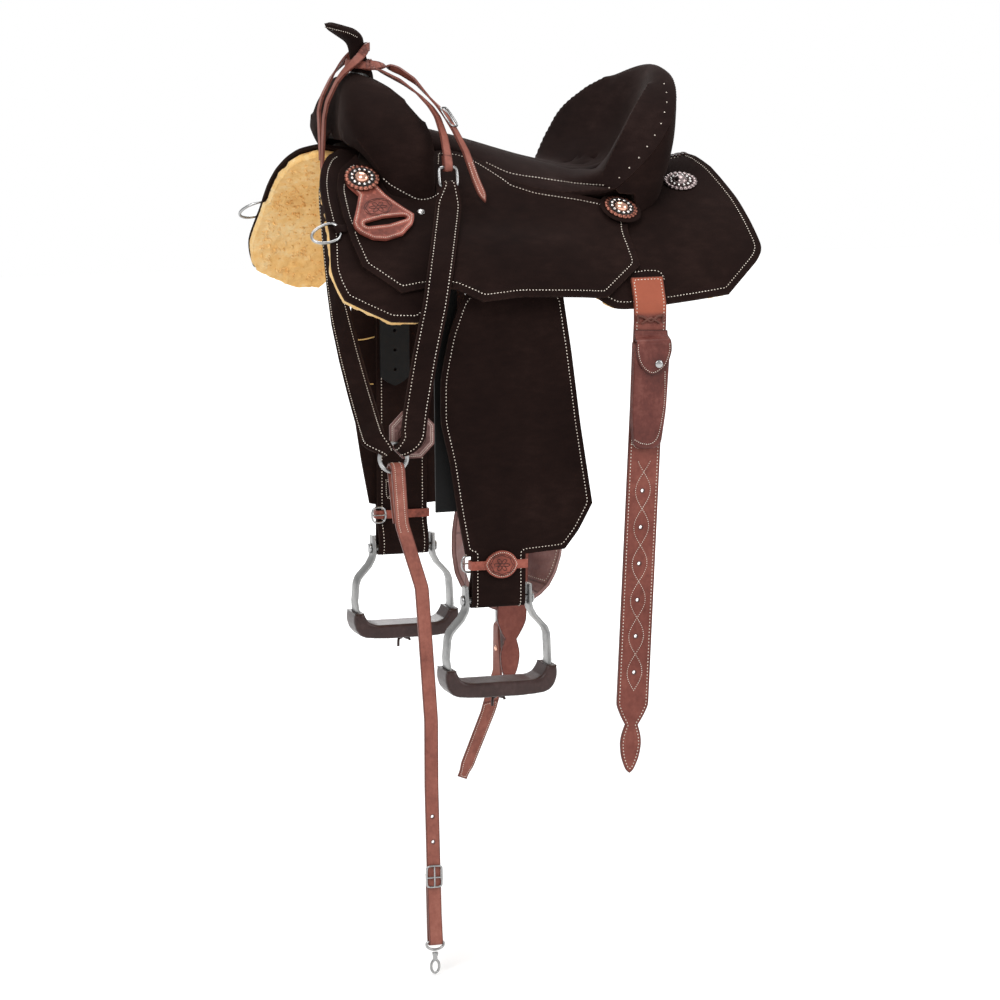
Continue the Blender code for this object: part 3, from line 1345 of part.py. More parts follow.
leaf_loop = [(-25, 0, "c"), (-21, 9), (-10, 17), (4, 19), (17, 12), (24, 0, "c"), (17, -12), (4, -19), (-10, -17), (-21, -9)]
leaf_y = hob_out
leaf_bm = slab([leaf_loop], lambda u, v, side: Vector((u - 75.0, -leaf_y - side * hobble_thickness * 0.62 - 0.5, v + hobble_z + 0.6)), (), (), 2)
leaf_guide = cutter_object("leaf_guide_near", leaf_bm)
carve(hobble_near, leaf_guide, "UNION")
hobble_far = mirrored(hobble_near, "hobble_far")
leaf_far = slab([leaf_loop], lambda u, v, side: Vector((u - 75.0, leaf_y + side * hobble_thickness * 0.62 + 0.5, v + hobble_z + 0.6)), (), (), 2)
hobble_far.modifiers[0].object = cutter_object("leaf_guide_far", leaf_far)

# ---- stirrups: one bent metal bow, its bolt, and the leather wrapped round the foot

leg_half = neck_width / 2 + 4.5 + stirrup_metal / 2
foot_z = bolt_z - stirrup_drop
bow_half = [(leg_half, bolt_z + 20.0), (leg_half, bolt_z - 10.0), (leg_half + 7.0, bolt_z - 25.0), (stirrup_half_width - 4.0, bolt_z - 44.0),
            (stirrup_half_width, bolt_z - 64.0), (stirrup_half_width, bolt_z - 92.0), (stirrup_half_width - 5.0, foot_z + 8.0), (stirrup_half_width - 20.0, foot_z), (0.0, foot_z)]
bow = bow_half + [(-x, z) for x, z in bow_half[-2::-1]]
bow_points = spline([(x, 0.0, z) for x, z in bow], 5.0)
bow_rings = []
kept = [0]
for i in range(1, len(bow_points) - 1):
    before = (bow_points[i] - bow_points[kept[-1]]).normalized()
    after = (bow_points[i + 1] - bow_points[i]).normalized()
    if before.angle(after, 0.0) > math.radians(8) or (bow_points[i] - bow_points[kept[-1]]).length > 40.0:
        kept.append(i)
kept.append(len(bow_points) - 1)
for i in kept:
    p = bow_points[i]
    way = (bow_points[min(i + 1, len(bow_points) - 1)] - bow_points[max(i - 1, 0)]).normalized()
    look = Vector((-way.z, 0.0, way.x)) * (stirrup_metal / 2)
    blend = 1.0 - ease(foot_z + 4.0, foot_z + 34.0, p.z)
    top = 1.0 - 0.35 * ease(bolt_z - 4.0, bolt_z + 20.0, p.z)
    wide = (stirrup_leg_width * (1 - blend) + stirrup_foot_width * blend) / 2 * top
    at = Vector((stirrup_centre_x + p.x, -stirrup_y, p.z))
    edge = 0.72
    bow_rings.append([at + look + out_y * wide * edge, at + look * 0.4 + out_y * wide, at - look * 0.4 + out_y * wide, at - look + out_y * wide * edge,
                      at - look - out_y * wide * edge, at - look * 0.4 - out_y * wide, at + look * 0.4 - out_y * wide, at + look - out_y * wide * edge])
stirrup_hinge = Vector((stirrup_centre_x, -stirrup_y, bolt_z))
stirrup_near = add_object("stirrup_near", loft(bow_rings), silver, 0.35, 1.0, stirrup_hinge)
stirrup_far = mirrored(stirrup_near, "stirrup_far")

bolt_end = leg_half + stirrup_metal / 2 + 0.4
head = bolt_end + 3.4
bolt_profile = [
    (0.0, head), (bolt_radius + 1.0, head), (bolt_radius + 2.6, head - 1.4), (bolt_radius + 2.6, bolt_end), (bolt_radius, bolt_end),
    (bolt_radius, -bolt_end), (bolt_radius + 2.6, -bolt_end), (bolt_radius + 2.6, -head + 1.4), (bolt_radius + 1.0, -head), (0.0, -head)]
stirrup_bolt_near = add_object("stirrup_bolt_near", turned(bolt_profile, 16, stirrup_hinge, out_x), silver, 0.3, 1.0, stirrup_hinge)
stirrup_bolt_far = mirrored(stirrup_bolt_near, "stirrup_bolt_far")
hole_profile = [(0.0, head + 5.0), (bolt_radius + 0.3, head + 5.0), (bolt_radius + 0.3, -head - 5.0), (0.0, -head - 5.0)]
for body, side in ((stirrup_near, -1), (stirrup_far, 1)):
    at = Vector((stirrup_centre_x, side * stirrup_y, bolt_z))
    carve(body, cutter_object("bolt_hole_" + body.name, turned(hole_profile, 16, at, out_x)))

wrap_half = stirrup_half_width + wrap_wall + 3.5
wrap_loop = [
    (-wrap_half, foot_z + 27, "c"), (-wrap_half - 1.0, foot_z + 12), (-wrap_half + 9, foot_z - 7), (-wrap_half + 28, foot_z - 11.5),
    (0, foot_z - 12.5), (wrap_half - 28, foot_z - 11.5), (wrap_half - 9, foot_z - 7), (wrap_half + 1.0, foot_z + 12), (wrap_half, foot_z + 27, "c"),
    (wrap_half - 14, foot_z + 27, "c"), (wrap_half - 22, foot_z + 13), (wrap_half - 36, foot_z + 8.5, "c"), (-wrap_half + 36, foot_z + 8.5, "c"),
    (-wrap_half + 22, foot_z + 13), (-wrap_half + 14, foot_z + 27, "c")]


def bow_solid(side, grow):
    """The bow's guide, a little fat all round, to cut its room in the wrap."""
    rings = []
    for i in kept:
        p = bow_points[i]
        way = (bow_points[min(i + 1, len(bow_points) - 1)] - bow_points[max(i - 1, 0)]).normalized()
        look = Vector((-way.z, 0.0, way.x)) * (stirrup_metal / 2 + grow)
        blend = 1.0 - ease(foot_z + 4.0, foot_z + 34.0, p.z)
        wide = (stirrup_leg_width * (1 - blend) + stirrup_foot_width * blend) / 2 + grow
        at = Vector((stirrup_centre_x + p.x, side * stirrup_y, p.z))
        rings.append([at + look + out_y * wide, at - look + out_y * wide, at - look - out_y * wide, at + look - out_y * wide])
    return loft(rings)


def wrap_solid(side):
    half_w = stirrup_wrap_width / 2

    def place(u, v, way):
        return Vector((stirrup_centre_x + u, side * stirrup_y + way * half_w, v))

    bm = slab([wrap_loop], place, (), (), 2)
    face_out(bm)
    rim = [e for e in bm.edges if abs(e.verts[0].co.y - e.verts[1].co.y) < 1e-7 and len(e.link_faces) == 2
           and abs(e.link_faces[0].normal.dot(e.link_faces[1].normal)) < 0.5]
    bmesh.ops.bevel(bm, geom=rim, offset=2.5 * mm, segments=1, profile=0.5, affect="EDGES")
    return bm


for side, label in ((-1, "near"), (1, "far")):
    at = Vector((stirrup_centre_x, side * stirrup_y, bolt_z))
    wrap = add_object("tread_wrap_" + label, wrap_solid(side), (0.045, 0.018, 0.013), 0.5, 0.0, at)
    carve(wrap, cutter_object("bow_room_" + label, bow_solid(side, 0.4)))

# ---- flank billets: from the skirt's lower rear, down the side


def billet_path(side, length):
    """Centre line of a billet: on the skirt, over its edge, then hanging with a slight lean."""
    on = skirt_top + 3 * leather_gap + billet_thickness / 2
    pieces = []
    for x, s in ((131.0, 281.0), (131.0, 292.0), (130.5, 303.0), (130.0, 314.0)):
        pieces.append((on_back(x, s, on, side), face_on_back(x, s, side)))
    hang = abs(pieces[-1][0].y) + 6.0
    top = pieces[-1][0].z
    laid = 33.0
    for drop in (26.0, 120.0, 260.0, 420.0, length - laid):
        lean = 26.0 * (drop / 600.0)
        pieces.append((Vector((129.0 - lean, side * hang, top - drop)), (0, side, 0)))
    return Strap(*merge_path(*pieces), step=4.0)


def billet_bm(side, length):
    strap = billet_path(side, length)
    half = billet_width / 2
    end = strap.total
    outline = [
        (-half, 0.0, "c"), (half, 0.0, "c"), (half, end - 96.0, "c"), (half - 7.0, end - 80.0), (half - 14.0, end - 68.0, "c"),
        (half - 9.0, end - 52.0), (half - 8.0, end - 38.0), (7.0, end - 8.0), (0.0, end), (-7.0, end - 8.0), (-half + 8.0, end - 38.0),
        (-half + 9.0, end - 52.0), (-half + 14.0, end - 68.0, "c"), (-half + 7.0, end - 80.0), (-half, end - 96.0, "c")]
    loops = [outline]
    for k in range(6):
        loops.append(circle_loop(0.0, end - 142.0 - billet_hole_pitch * k, billet_hole_radius))
    return strap, strap_slab(strap, loops, billet_thickness, 12.0, 160.0, 2)


near_billet_strap, near_billet_bm = billet_bm(-1, billet_length)
billet_hinge = near_billet_strap.at[0]
flank_billet_near = add_object("flank_billet_near", near_billet_bm, tan, 0.5, 0.0, billet_hinge)
far_billet_strap, far_billet_bm = billet_bm(1, far_billet_length)
far_billet_hinge = far_billet_strap.at[0]
flank_billet_far = add_object("flank_billet_far", far_billet_bm, tan, 0.5, 0.0, far_billet_hinge)

# ---- sheath on the near billet: a pocket open at the top, and its flap

sheath_top_z, sheath_low_z = -106.0, -252.0
sheath_y = near_billet_strap.frame(near_billet_strap.total * 0.3)[0].y - billet_thickness / 2 - 0.5


def sheath_x(z):
    return 129.0 - 26.0 * ((-60.0 - z) / 600.0)


def sheath_block(wall, top, low, depth_from, depth_to):
    loop = []
    for x, z in ((-26, top), (26, top), (24, -200), (19, low + 6), (11, low), (-13, low), (-21, low + 7), (-25, -200)):
        inset = wall if abs(x) > 1 else 0.0
        loop.append((x - math.copysign(inset, x), z + (wall if z < -240 else 0.0), "c"))
    return slab([loop], lambda u, v, side: Vector((sheath_x(v) + u, depth_from if side < 0 else depth_to, v)), (), (), 2)


sheath_bm = sheath_block(0.0, sheath_top_z, sheath_low_z, sheath_y, sheath_y - sheath_depth)
face_out(sheath_bm)
edges = [e for e in sheath_bm.edges if all(abs(v.co.y - (sheath_y - sheath_depth) * mm) < 1e-6 for v in e.verts)
         and len(e.link_faces) == 2 and abs(e.link_faces[0].normal.dot(e.link_faces[1].normal)) < 0.4]
bmesh.ops.bevel(sheath_bm, geom=edges, offset=3.0 * mm, segments=2, profile=0.5, affect="EDGES")
hoof_pick_sheath = add_object("hoof_pick_sheath", sheath_bm, (0.12, 0.035, 0.018), 0.45, 0.0, billet_hinge)
room_bm = sheath_block(sheath_wall, sheath_top_z + 20.0, sheath_low_z, sheath_y - sheath_wall, sheath_y - sheath_depth + sheath_wall)
carve(hoof_pick_sheath, cutter_object("sheath_room", room_bm))

flap_thickness = 2.4
flap_y = sheath_y - sheath_depth - 1.2 - flap_thickness / 2
flap_top = sheath_top_z + 4.4
flap_x = sheath_x(flap_top)
flap_back = near_billet_strap.frame(near_billet_strap.total * 0.3)[0].y - billet_thickness / 2 - 0.4 - flap_thickness / 2
flap_pieces = [((flap_x + 0.4, flap_back, flap_top + 12.0), (0, -1, 0)), ((flap_x + 0.1, flap_back - 1.0, flap_top + 5.0), (0, -1, 0.5)),
               ((flap_x, flap_back - 6.0, flap_top + 1.0), (0, -0.3, 1)), ((flap_x, flap_y + 5.0, flap_top - 0.2), (0, -0.5, 1)),
               ((flap_x - 0.2, flap_y + 0.6, flap_top - 5.0), (0, -1, 0.3)), ((flap_x - 0.8, flap_y, flap_top - 18.0), (0, -1, 0)),
               ((flap_x - 2.2, flap_y, flap_top - 48.0), (0, -1, 0))]
flap_strap = Strap(*merge_path(*flap_pieces), step=2.0)
flap_end = flap_strap.total
flap_loop = [(-24, 0, "c"), (24, 0, "c"), (26, flap_end - 34, "c"), (20, flap_end - 14), (7, flap_end - 2), (0, flap_end), (-7, flap_end - 2), (-20, flap_end - 14), (-26, flap_end - 34, "c")]
flap_hinge = Vector((flap_x, flap_back + flap_thickness / 2 + 0.15, flap_top + 13.4))
sheath_flap = add_object("sheath_flap", strap_slab(flap_strap, [flap_loop], flap_thickness, 16.0, 90.0, 2), (0.13, 0.038, 0.02), 0.42, 0.0, flap_hinge)

# ---- latigo and off billet, hung from inside the skirts


def inside_path(x, s_top, s_low, side, thickness, bottom, hang_y, lean=0.0):
    under = -leather_gap - fleece_thickness - 1.0 - thickness / 2
    pieces = []
    for k in range(3):
        s = s_top + (s_low - s_top) * k / 2
        pieces.append((on_back(x, s, under, side), face_on_back(x, s, side)))
    z = pieces[-1][0].z
    y = abs(pieces[-1][0].y)
    pieces.append((Vector((x, side * (y * 0.4 + hang_y * 0.6), z - 24.0)), (0, side, 0.2)))
    for k in range(1, 4):
        t = k / 3
        pieces.append((Vector((x + lean * t, side * hang_y, (z - 50.0) * (1 - t) + bottom * t)), (0, side, 0)))
    return pieces


latigo_pieces = inside_path(-148.0, 214.0, 250.0, -1, rigging_leather, -337.0, 214.0, 3.0)
latigo_hinge = latigo_pieces[0][0]
latigo_strap = add_object("latigo_strap", ribbon(*merge_path(*latigo_pieces), 34.0, rigging_leather, 4.0, 12.0, 130.0), black, 0.6, 0.0, latigo_hinge)
off_pieces = inside_path(-94.0, 214.0, 250.0, 1, rigging_leather, -218.0, 214.0, 2.0)
off_strap = Strap(*merge_path(*off_pieces), step=4.0)
off_half, off_end = 22.0, off_strap.total
off_loops = [[(-off_half, 0, "c"), (off_half, 0, "c"), (off_half, off_end - 14, "c"), (0, off_end), (-off_half, off_end - 14, "c")]]
for k in range(3):
    off_loops.append(circle_loop(0.0, off_end - 24.0 - 28.6 * k, 2.6))
off_hinge = off_pieces[0][0]
off_billet = add_object("off_billet", strap_slab(off_strap, off_loops, rigging_leather, 12.0, 130.0, 2), black, 0.6, 0.0, off_hinge)

# ---- flank cinch: a broad band hung from the far billet in a loop, its buckle, dee and connector strap

billet_out = far_billet_strap.frame(far_billet_strap.total * 0.5)[0].y + billet_thickness / 2
cinch_y = billet_out + 0.6 + cinch_thickness / 2
cinch_mid = billet_out + cinch_width / 2 + 1.6
cinch_pieces = [
    ((116.0, cinch_y, -268.0), (0, 1, 0)), ((118.0, cinch_y, -320.0), (0, 1, 0)),
    ((138.0, cinch_y + 2.0, -385.0), (0.2, 1, 0)), ((158.0, cinch_y + 8.0, -440.0), (0.5, 0.8, 0.1)),
    ((165.0, cinch_mid - 12.0, -486.0), (0.8, 0.6, -0.1)), ((155.0, cinch_mid - 5.0, -530.0), (0.75, 0.4, -0.5)),
    ((131.0, cinch_mid, -560.0), (0.5, 0.0, -0.8)), ((96.0, cinch_mid, -572.0), (0.1, 0.0, -1.0)),
    ((60.0, cinch_mid, -557.0), (-0.5, 0.0, -0.8)), ((36.0, cinch_mid - 5.0, -518.0), (-0.8, 0.4, -0.3)),
    ((33.0, cinch_mid - 10.0, -468.0), (-0.8, 0.6, 0)), ((52.0, cinch_y + 12.0, -410.0), (-0.4, 0.9, 0.1)),
    ((88.0, cinch_y + 9.5, -350.0), (0, 1, 0)), ((110.0, cinch_y + 8.2, -300.0), (0, 1, 0)), ((114.0, cinch_y + 8.2, -272.0), (0, 1, 0))]
cinch_line = Strap(*merge_path(*cinch_pieces), step=4.0)
cinch_half = cinch_width / 2
cinch_outline = tapered(cinch_line, cinch_half, 20.0, 120.0)
flank_cinch = add_object("flank_cinch", strap_slab(cinch_line, [cinch_outline], cinch_thickness, 12.0, 80.0), tan, 0.5, 0.0, far_billet_hinge)
buckle_mid = Vector((118.0, billet_out + 0.6 + 2.4, -244.0))
cinch_buckle = add_object("cinch_buckle", wire(ring_loop(buckle_mid, out_x, out_z, 27.0, 20.0, 6.0), 2.4, True), silver, 0.3, 1.0, far_billet_hinge)

dee_top = Vector((98.0, cinch_mid, -572.0 - cinch_thickness / 2 - dee_wire))
cinch_dee_bm = wire(ring_loop(dee_top - out_z * 13.0, out_y, out_z, 15.0, 13.0, 7.0), dee_wire, True)
cinch_dee = add_object("cinch_dee", cinch_dee_bm, silver, 0.3, 1.0, far_billet_hinge)
connector_hook = dee_top - out_z * 26.0
connector_thickness = 3.2
connector_fold = dee_wire + 1.0 + connector_thickness / 2
connector_look = Vector((-1.0, 0.0, 0.0))
connector_twist = Vector((0.3, -0.95, 0.0))
connector_pieces = [(connector_hook + Vector((3.4, 0.0, -58.0)), -connector_look)]
connector_pieces += fold(connector_hook, out_y, out_z, connector_look, connector_fold, 190.0)[::-1]
connector_pieces += [
    (connector_hook + Vector((-2.0, 0.0, -58.0)), connector_look), (connector_hook + Vector((-9.0, 0.0, -96.0)), (-0.7, -0.7, 0.0)),
    (connector_hook + Vector((-22.0, 0.0, -140.0)), connector_twist), (connector_hook + Vector((-44.0, 0.0, -192.0)), connector_twist),
    (connector_hook + Vector((-60.0, 0.0, -230.0)), connector_twist)]
connector_line = Strap(*merge_path(*connector_pieces), step=3.0)
connector_loop = tapered(connector_line, 11.0, 8.0, 20.0)
connector_strap = add_object("connector_strap", strap_slab(connector_line, [connector_loop], connector_thickness, 14.0, 90.0, 2), tan, 0.5, 0.0, connector_hook)

# ---- far twins and the cuts that the near and far halves share

below_core = [
    cutter_object("bar_room_" + label, back_slab([corners([(100, 20), (260, 20), (260, 190), (100, 190)])], lambda x, s: -24.0, lambda x, s: over_bars(x, s) + 0.5, side))
    for side, label in ((-1, "near"), (1, "far"))]
for cutter in below_core:
    carve(cantle_core, cutter)
carve(jockey_near, fork_cover_guide)
jockey_far = mirrored(jockey_near, "jockey_far")
skirt_far = mirrored(skirt_near, "skirt_far")
fleece_far = mirrored(fleece_near, "fleece_far")
tree_bar_far = mirrored(tree_bar_near, "tree_bar_far")
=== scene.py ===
import json
import math

import bmesh
import bpy
import numpy as np
from mathutils import Matrix, Vector, kdtree, noise
from mathutils.bvhtree import BVHTree

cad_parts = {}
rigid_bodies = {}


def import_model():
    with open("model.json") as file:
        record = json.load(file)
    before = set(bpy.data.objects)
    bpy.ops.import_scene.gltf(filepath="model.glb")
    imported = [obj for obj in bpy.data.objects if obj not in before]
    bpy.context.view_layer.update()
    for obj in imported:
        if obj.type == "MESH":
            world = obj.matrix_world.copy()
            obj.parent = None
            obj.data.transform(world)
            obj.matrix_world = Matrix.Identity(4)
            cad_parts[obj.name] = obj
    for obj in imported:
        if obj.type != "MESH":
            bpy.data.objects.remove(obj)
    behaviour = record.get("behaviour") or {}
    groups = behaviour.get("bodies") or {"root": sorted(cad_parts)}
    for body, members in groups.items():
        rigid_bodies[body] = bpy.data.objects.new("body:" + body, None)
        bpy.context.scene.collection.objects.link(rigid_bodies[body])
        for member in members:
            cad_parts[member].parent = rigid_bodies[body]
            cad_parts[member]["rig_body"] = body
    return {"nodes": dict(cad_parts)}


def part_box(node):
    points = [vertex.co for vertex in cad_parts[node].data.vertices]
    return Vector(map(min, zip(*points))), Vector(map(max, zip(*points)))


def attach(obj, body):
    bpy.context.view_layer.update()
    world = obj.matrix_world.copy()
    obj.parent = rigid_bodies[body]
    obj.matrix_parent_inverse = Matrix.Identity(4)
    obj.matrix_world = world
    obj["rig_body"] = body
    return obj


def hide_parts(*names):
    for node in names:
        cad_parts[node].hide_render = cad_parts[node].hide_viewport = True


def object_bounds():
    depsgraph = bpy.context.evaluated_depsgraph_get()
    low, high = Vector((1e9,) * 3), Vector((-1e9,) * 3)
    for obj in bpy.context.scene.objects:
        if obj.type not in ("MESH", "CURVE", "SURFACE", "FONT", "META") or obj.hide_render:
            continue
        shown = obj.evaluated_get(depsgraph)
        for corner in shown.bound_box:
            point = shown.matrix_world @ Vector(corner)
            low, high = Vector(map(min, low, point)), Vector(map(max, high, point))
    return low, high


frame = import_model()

# Looks of the barrel racing saddle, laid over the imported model.
# Places are in metres, and the other lengths in the settings in millimetres.
mm = 0.001
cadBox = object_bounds()
scene = bpy.context.scene
nodes = frame["nodes"]
print("loaded", len(nodes), "nodes")

# camera: low from the front on the near side, as the photograph was taken
view = {"place": (-1.831, -5.636, 0.579), "look": (0.0, 0.0, -0.360), "lens": 151.2, "sensor": 36.0}
cameraData = bpy.data.cameras.new("camera")
cameraData.lens = view["lens"]
cameraData.sensor_width = view["sensor"]
camera = bpy.data.objects.new("camera", cameraData)
scene.collection.objects.link(camera)
camera.location = view["place"]
camera.rotation_euler = (Vector(view["look"]) - Vector(view["place"])).to_track_quat("-Z", "Y").to_euler()
scene.camera = camera
bpy.context.view_layer.update()
sight = camera.matrix_world.to_3x3()


def photoRay(px, py):
    # from the camera through a point of the square picture
    wide = view["sensor"] / view["lens"] / 1000
    return camera.location.copy(), (sight @ Vector(((px - 500) * wide, (500 - py) * wide, -1.0))).normalized()


# materials
class Value:
    # a socket with a number on it; sums on it become Math nodes
    def __init__(self, paint, socket):
        self.paint = paint
        self.socket = socket

    def maths(self, operation, first, second):
        node = self.paint.node("ShaderNodeMath", {"operation": operation}, {0: first, 1: second})
        return node.out(0)

    def __add__(self, other):
        return self.maths("ADD", self, other)

    def __radd__(self, other):
        return self.maths("ADD", other, self)

    def __sub__(self, other):
        return self.maths("SUBTRACT", self, other)

    def __rsub__(self, other):
        return self.maths("SUBTRACT", other, self)

    def __mul__(self, other):
        return self.maths("MULTIPLY", self, other)

    def __rmul__(self, other):
        return self.maths("MULTIPLY", other, self)


class Step:
    # a node whose outputs are asked for by name or number
    def __init__(self, paint, node):
        self.paint = paint
        self.node = node

    def out(self, key):
        found = [s for s in self.node.outputs if s.identifier == key or s.name == key]
        return Value(self.paint, found[0] if found else self.node.outputs[key])


class Paint:
    # a procedural material, built from nodes that read object coordinates
    def __init__(self, name):
        self.material = bpy.data.materials.new(name)
        self.material.use_nodes = True
        self.tree = self.material.node_tree
        self.tree.nodes.clear()
        self.shader = self.node("ShaderNodeBsdfPrincipled")
        self.output = self.node("ShaderNodeOutputMaterial", {}, {"Surface": self.shader.out("BSDF")})
        self.place = self.node("ShaderNodeTexCoord").out("Object")

    def node(self, kind, settings=None, sockets=None):
        node = self.tree.nodes.new(kind)
        for key, value in (settings or {}).items():
            if key == "stops":
                ramp = node.color_ramp
                while len(ramp.elements) < len(value):
                    ramp.elements.new(0.5)
                for stop, (at, colour) in zip(ramp.elements, value):
                    stop.position = at
                    stop.color = (*colour, 1.0)
            else:
                setattr(node, key, value)
        for key, value in (sockets or {}).items():
            found = [s for s in node.inputs if s.identifier == key or s.name == key]
            socket = found[0] if found else node.inputs[key]
            if isinstance(value, Value):
                self.tree.links.new(value.socket, socket)
            elif value is not None:
                socket.default_value = value
        return Step(self, node)

    def noise(self, scale, detail=3.0, rough=0.55, place=None):
        return self.node("ShaderNodeTexNoise", {}, {"Vector": place or self.place, "Scale": scale,
                                                    "Detail": detail, "Roughness": rough}).out("Fac")

    def stretched(self, x, y, z):
        return self.node("ShaderNodeMapping", {}, {"Vector": self.place, "Scale": (x, y, z)}).out("Vector")

    def ease(self, value, low, high):
        return self.node("ShaderNodeMapRange", {"interpolation_type": "SMOOTHSTEP"},
                         {"Value": value, "From Min": low, "From Max": high}).out("Result")

    def ramp(self, value, stops):
        return self.node("ShaderNodeValToRGB", {"stops": stops}, {"Fac": value}).out("Color")

    def mix(self, share, a, b):
        a, b = [c if isinstance(c, Value) else (*c, 1.0) for c in (a, b)]
        mixer = self.node("ShaderNodeMix", {"data_type": "RGBA"},
                          {"Factor_Float": share, "A_Color": a, "B_Color": b})
        return mixer.out("Result_Color")

    def read(self, name):
        return self.node("ShaderNodeAttribute", {"attribute_name": name}).out("Fac")

    def bump(self, height, strength, depth):
        return self.node("ShaderNodeBump", {}, {"Height": height, "Strength": strength,
                                                "Distance": depth * mm}).out("Normal")

    def finish(self, **sockets):
        for key, value in sockets.items():
            socket = self.shader.node.inputs[key.replace("_", " ")]
            if isinstance(value, Value):
                self.tree.links.new(value.socket, socket)
            else:
                socket.default_value = value
        return self.material


def suede(name, dark, middle, light, edge):
    # brushed nap: soft patches where it was stroked, a short grain, a paler cut edge
    p = Paint(name)
    patches = p.noise(11, 3, 0.6)
    strokes = p.noise(46, 3, 0.6, p.stretched(1.0, 1.0, 2.6))
    nap = p.noise(420, 4, 0.7)
    fine = p.noise(1500, 2, 0.6)
    shade = patches * 0.45 + strokes * 0.25 + nap * 0.2 + fine * 0.1
    colour = p.ramp(shade, [(0.34, dark), (0.52, middle), (0.70, light)])
    rim = p.read("rim")
    worn = (1 - p.ease(rim, 0.0, 1.4 * mm)) * 0.55
    colour = p.mix(worn, colour, edge)
    seam = p.bump(nap * 0.6 + fine * 0.4, 0.4, 0.7)
    return p.finish(Base_Color=colour, Roughness=0.80 + nap * 0.2, Normal=seam, Sheen_Weight=0.035,
                    Sheen_Roughness=0.4, Sheen_Tint=(0.60, 0.38, 0.30, 1.0), Specular_IOR_Level=0.08)


def strapLeather(name, deep, body, pale, edge, burnish=2.2, rough=0.42, fresh=None):
    # smooth vegetable-tanned leather: pores, cloudy dye, darker rubbed edges
    p = Paint(name)
    cloud = p.noise(24, 4, 0.6)
    fibre = p.noise(150, 4, 0.65)
    pores = p.node("ShaderNodeTexVoronoi", {"feature": "DISTANCE_TO_EDGE"},
                   {"Vector": p.place, "Scale": 900.0}).out("Distance")
    crease = p.noise(340, 3, 0.6, p.stretched(1.0, 1.0, 0.35))
    shade = cloud * 0.55 + fibre * 0.3 + crease * 0.15
    colour = p.ramp(shade, [(0.32, deep), (0.52, body), (0.72, pale)])
    if fresh:
        # the part that other leather kept from the light
        level = p.node("ShaderNodeSeparateXYZ", {}, {0: p.place}).out("Z")
        kept = p.ease(level, fresh[0] - 0.004, fresh[0] + 0.004) * (0.55 + cloud * 0.6)
        colour = p.mix(kept, colour, fresh[1])
    rim = p.read("rim")
    rubbed = (1 - p.ease(rim, 0.3 * mm, burnish * mm)) * 0.8
    colour = p.mix(rubbed, colour, edge)
    height = pores * 0.5 + fibre * 0.35 + crease * 0.3
    return p.finish(Base_Color=colour, Roughness=rough + fibre * 0.22 - rubbed * 0.08,
                    Normal=p.bump(height, 0.3, 0.5), Coat_Weight=0.04, Coat_Roughness=0.35,
                    Specular_IOR_Level=0.28)


def tooledLeather(name, deep, body, pale, line, bands):
    # strap leather with a stamped ground of small petals, and pale lines at set distances from its edge
    p = Paint(name)
    cloud = p.noise(30, 4, 0.6)
    fibre = p.noise(170, 4, 0.65)
    rim = p.read("rim")
    petals = p.node("ShaderNodeTexVoronoi", {"feature": "SMOOTH_F1"},
                    {"Vector": p.place, "Scale": 165.0, "Smoothness": 0.25}).out("Distance")
    stems = p.noise(210, 1, 0.4)
    inside = p.ease(rim, (bands[-1] + 1.0) * mm, (bands[-1] + 2.0) * mm)
    stamped = (petals * 0.9 + stems * 0.5) * inside
    colour = p.ramp(cloud * 0.6 + fibre * 0.4, [(0.34, deep), (0.52, body), (0.70, pale)])
    colour = p.mix(p.ease(stamped, 0.38, 0.72) * 0.55, colour, deep)
    groove = 0.0
    for at in bands:
        band = p.ease(rim, (at - 0.7) * mm, (at - 0.2) * mm)
        band = band * (1 - p.ease(rim, (at + 0.2) * mm, (at + 0.7) * mm))
        groove = band + groove
    colour = p.mix(groove * 0.85, colour, line)
    colour = p.mix((1 - p.ease(rim, 0.2 * mm, 1.0 * mm)) * 0.8, colour, deep)
    normal = p.bump(fibre * 0.15 - stamped * 0.9 + groove * 0.4, 0.6, 0.9)
    return p.finish(Base_Color=colour, Roughness=0.45 + fibre * 0.2, Normal=normal, Coat_Weight=0.03,
                    Coat_Roughness=0.3, Specular_IOR_Level=0.22)


def woolPile(name, deep, body, pale):
    p = Paint(name)
    locks = p.noise(70, 4, 0.65)
    fibre = p.noise(600, 4, 0.7)
    cloud = p.noise(9, 2, 0.5)
    shade = locks * 0.45 + fibre * 0.25 + cloud * 0.3
    colour = p.ramp(shade, [(0.33, deep), (0.50, body), (0.66, pale)])
    return p.finish(Base_Color=colour, Roughness=0.95, Normal=p.bump(locks * 0.6 + fibre * 0.5, 0.7, 2.0),
                    Sheen_Weight=0.35, Sheen_Roughness=0.5, Sheen_Tint=(1.0, 0.86, 0.62, 1.0),
                    Specular_IOR_Level=0.15)


def brightMetal(name, colour, tarnish, rough, brushed=0.0, cloudScale=60):
    # cast or drawn metal: fine scratches, darker tarnish in patches
    p = Paint(name)
    cloud = p.noise(cloudScale, 4, 0.6)
    scratch = p.noise(900, 3, 0.6, p.stretched(1.0, 0.12, 1.0))
    patches = p.ease(cloud, 0.46, 0.74)
    tone = p.mix(patches * 0.55, colour, tarnish)
    dull = rough + scratch * (0.10 + brushed) + patches * 0.12
    normal = p.bump(scratch * 0.7 + cloud * 0.3, 0.12 + brushed, 0.2)
    return p.finish(Base_Color=tone, Metallic=1.0, Roughness=dull, Normal=normal)


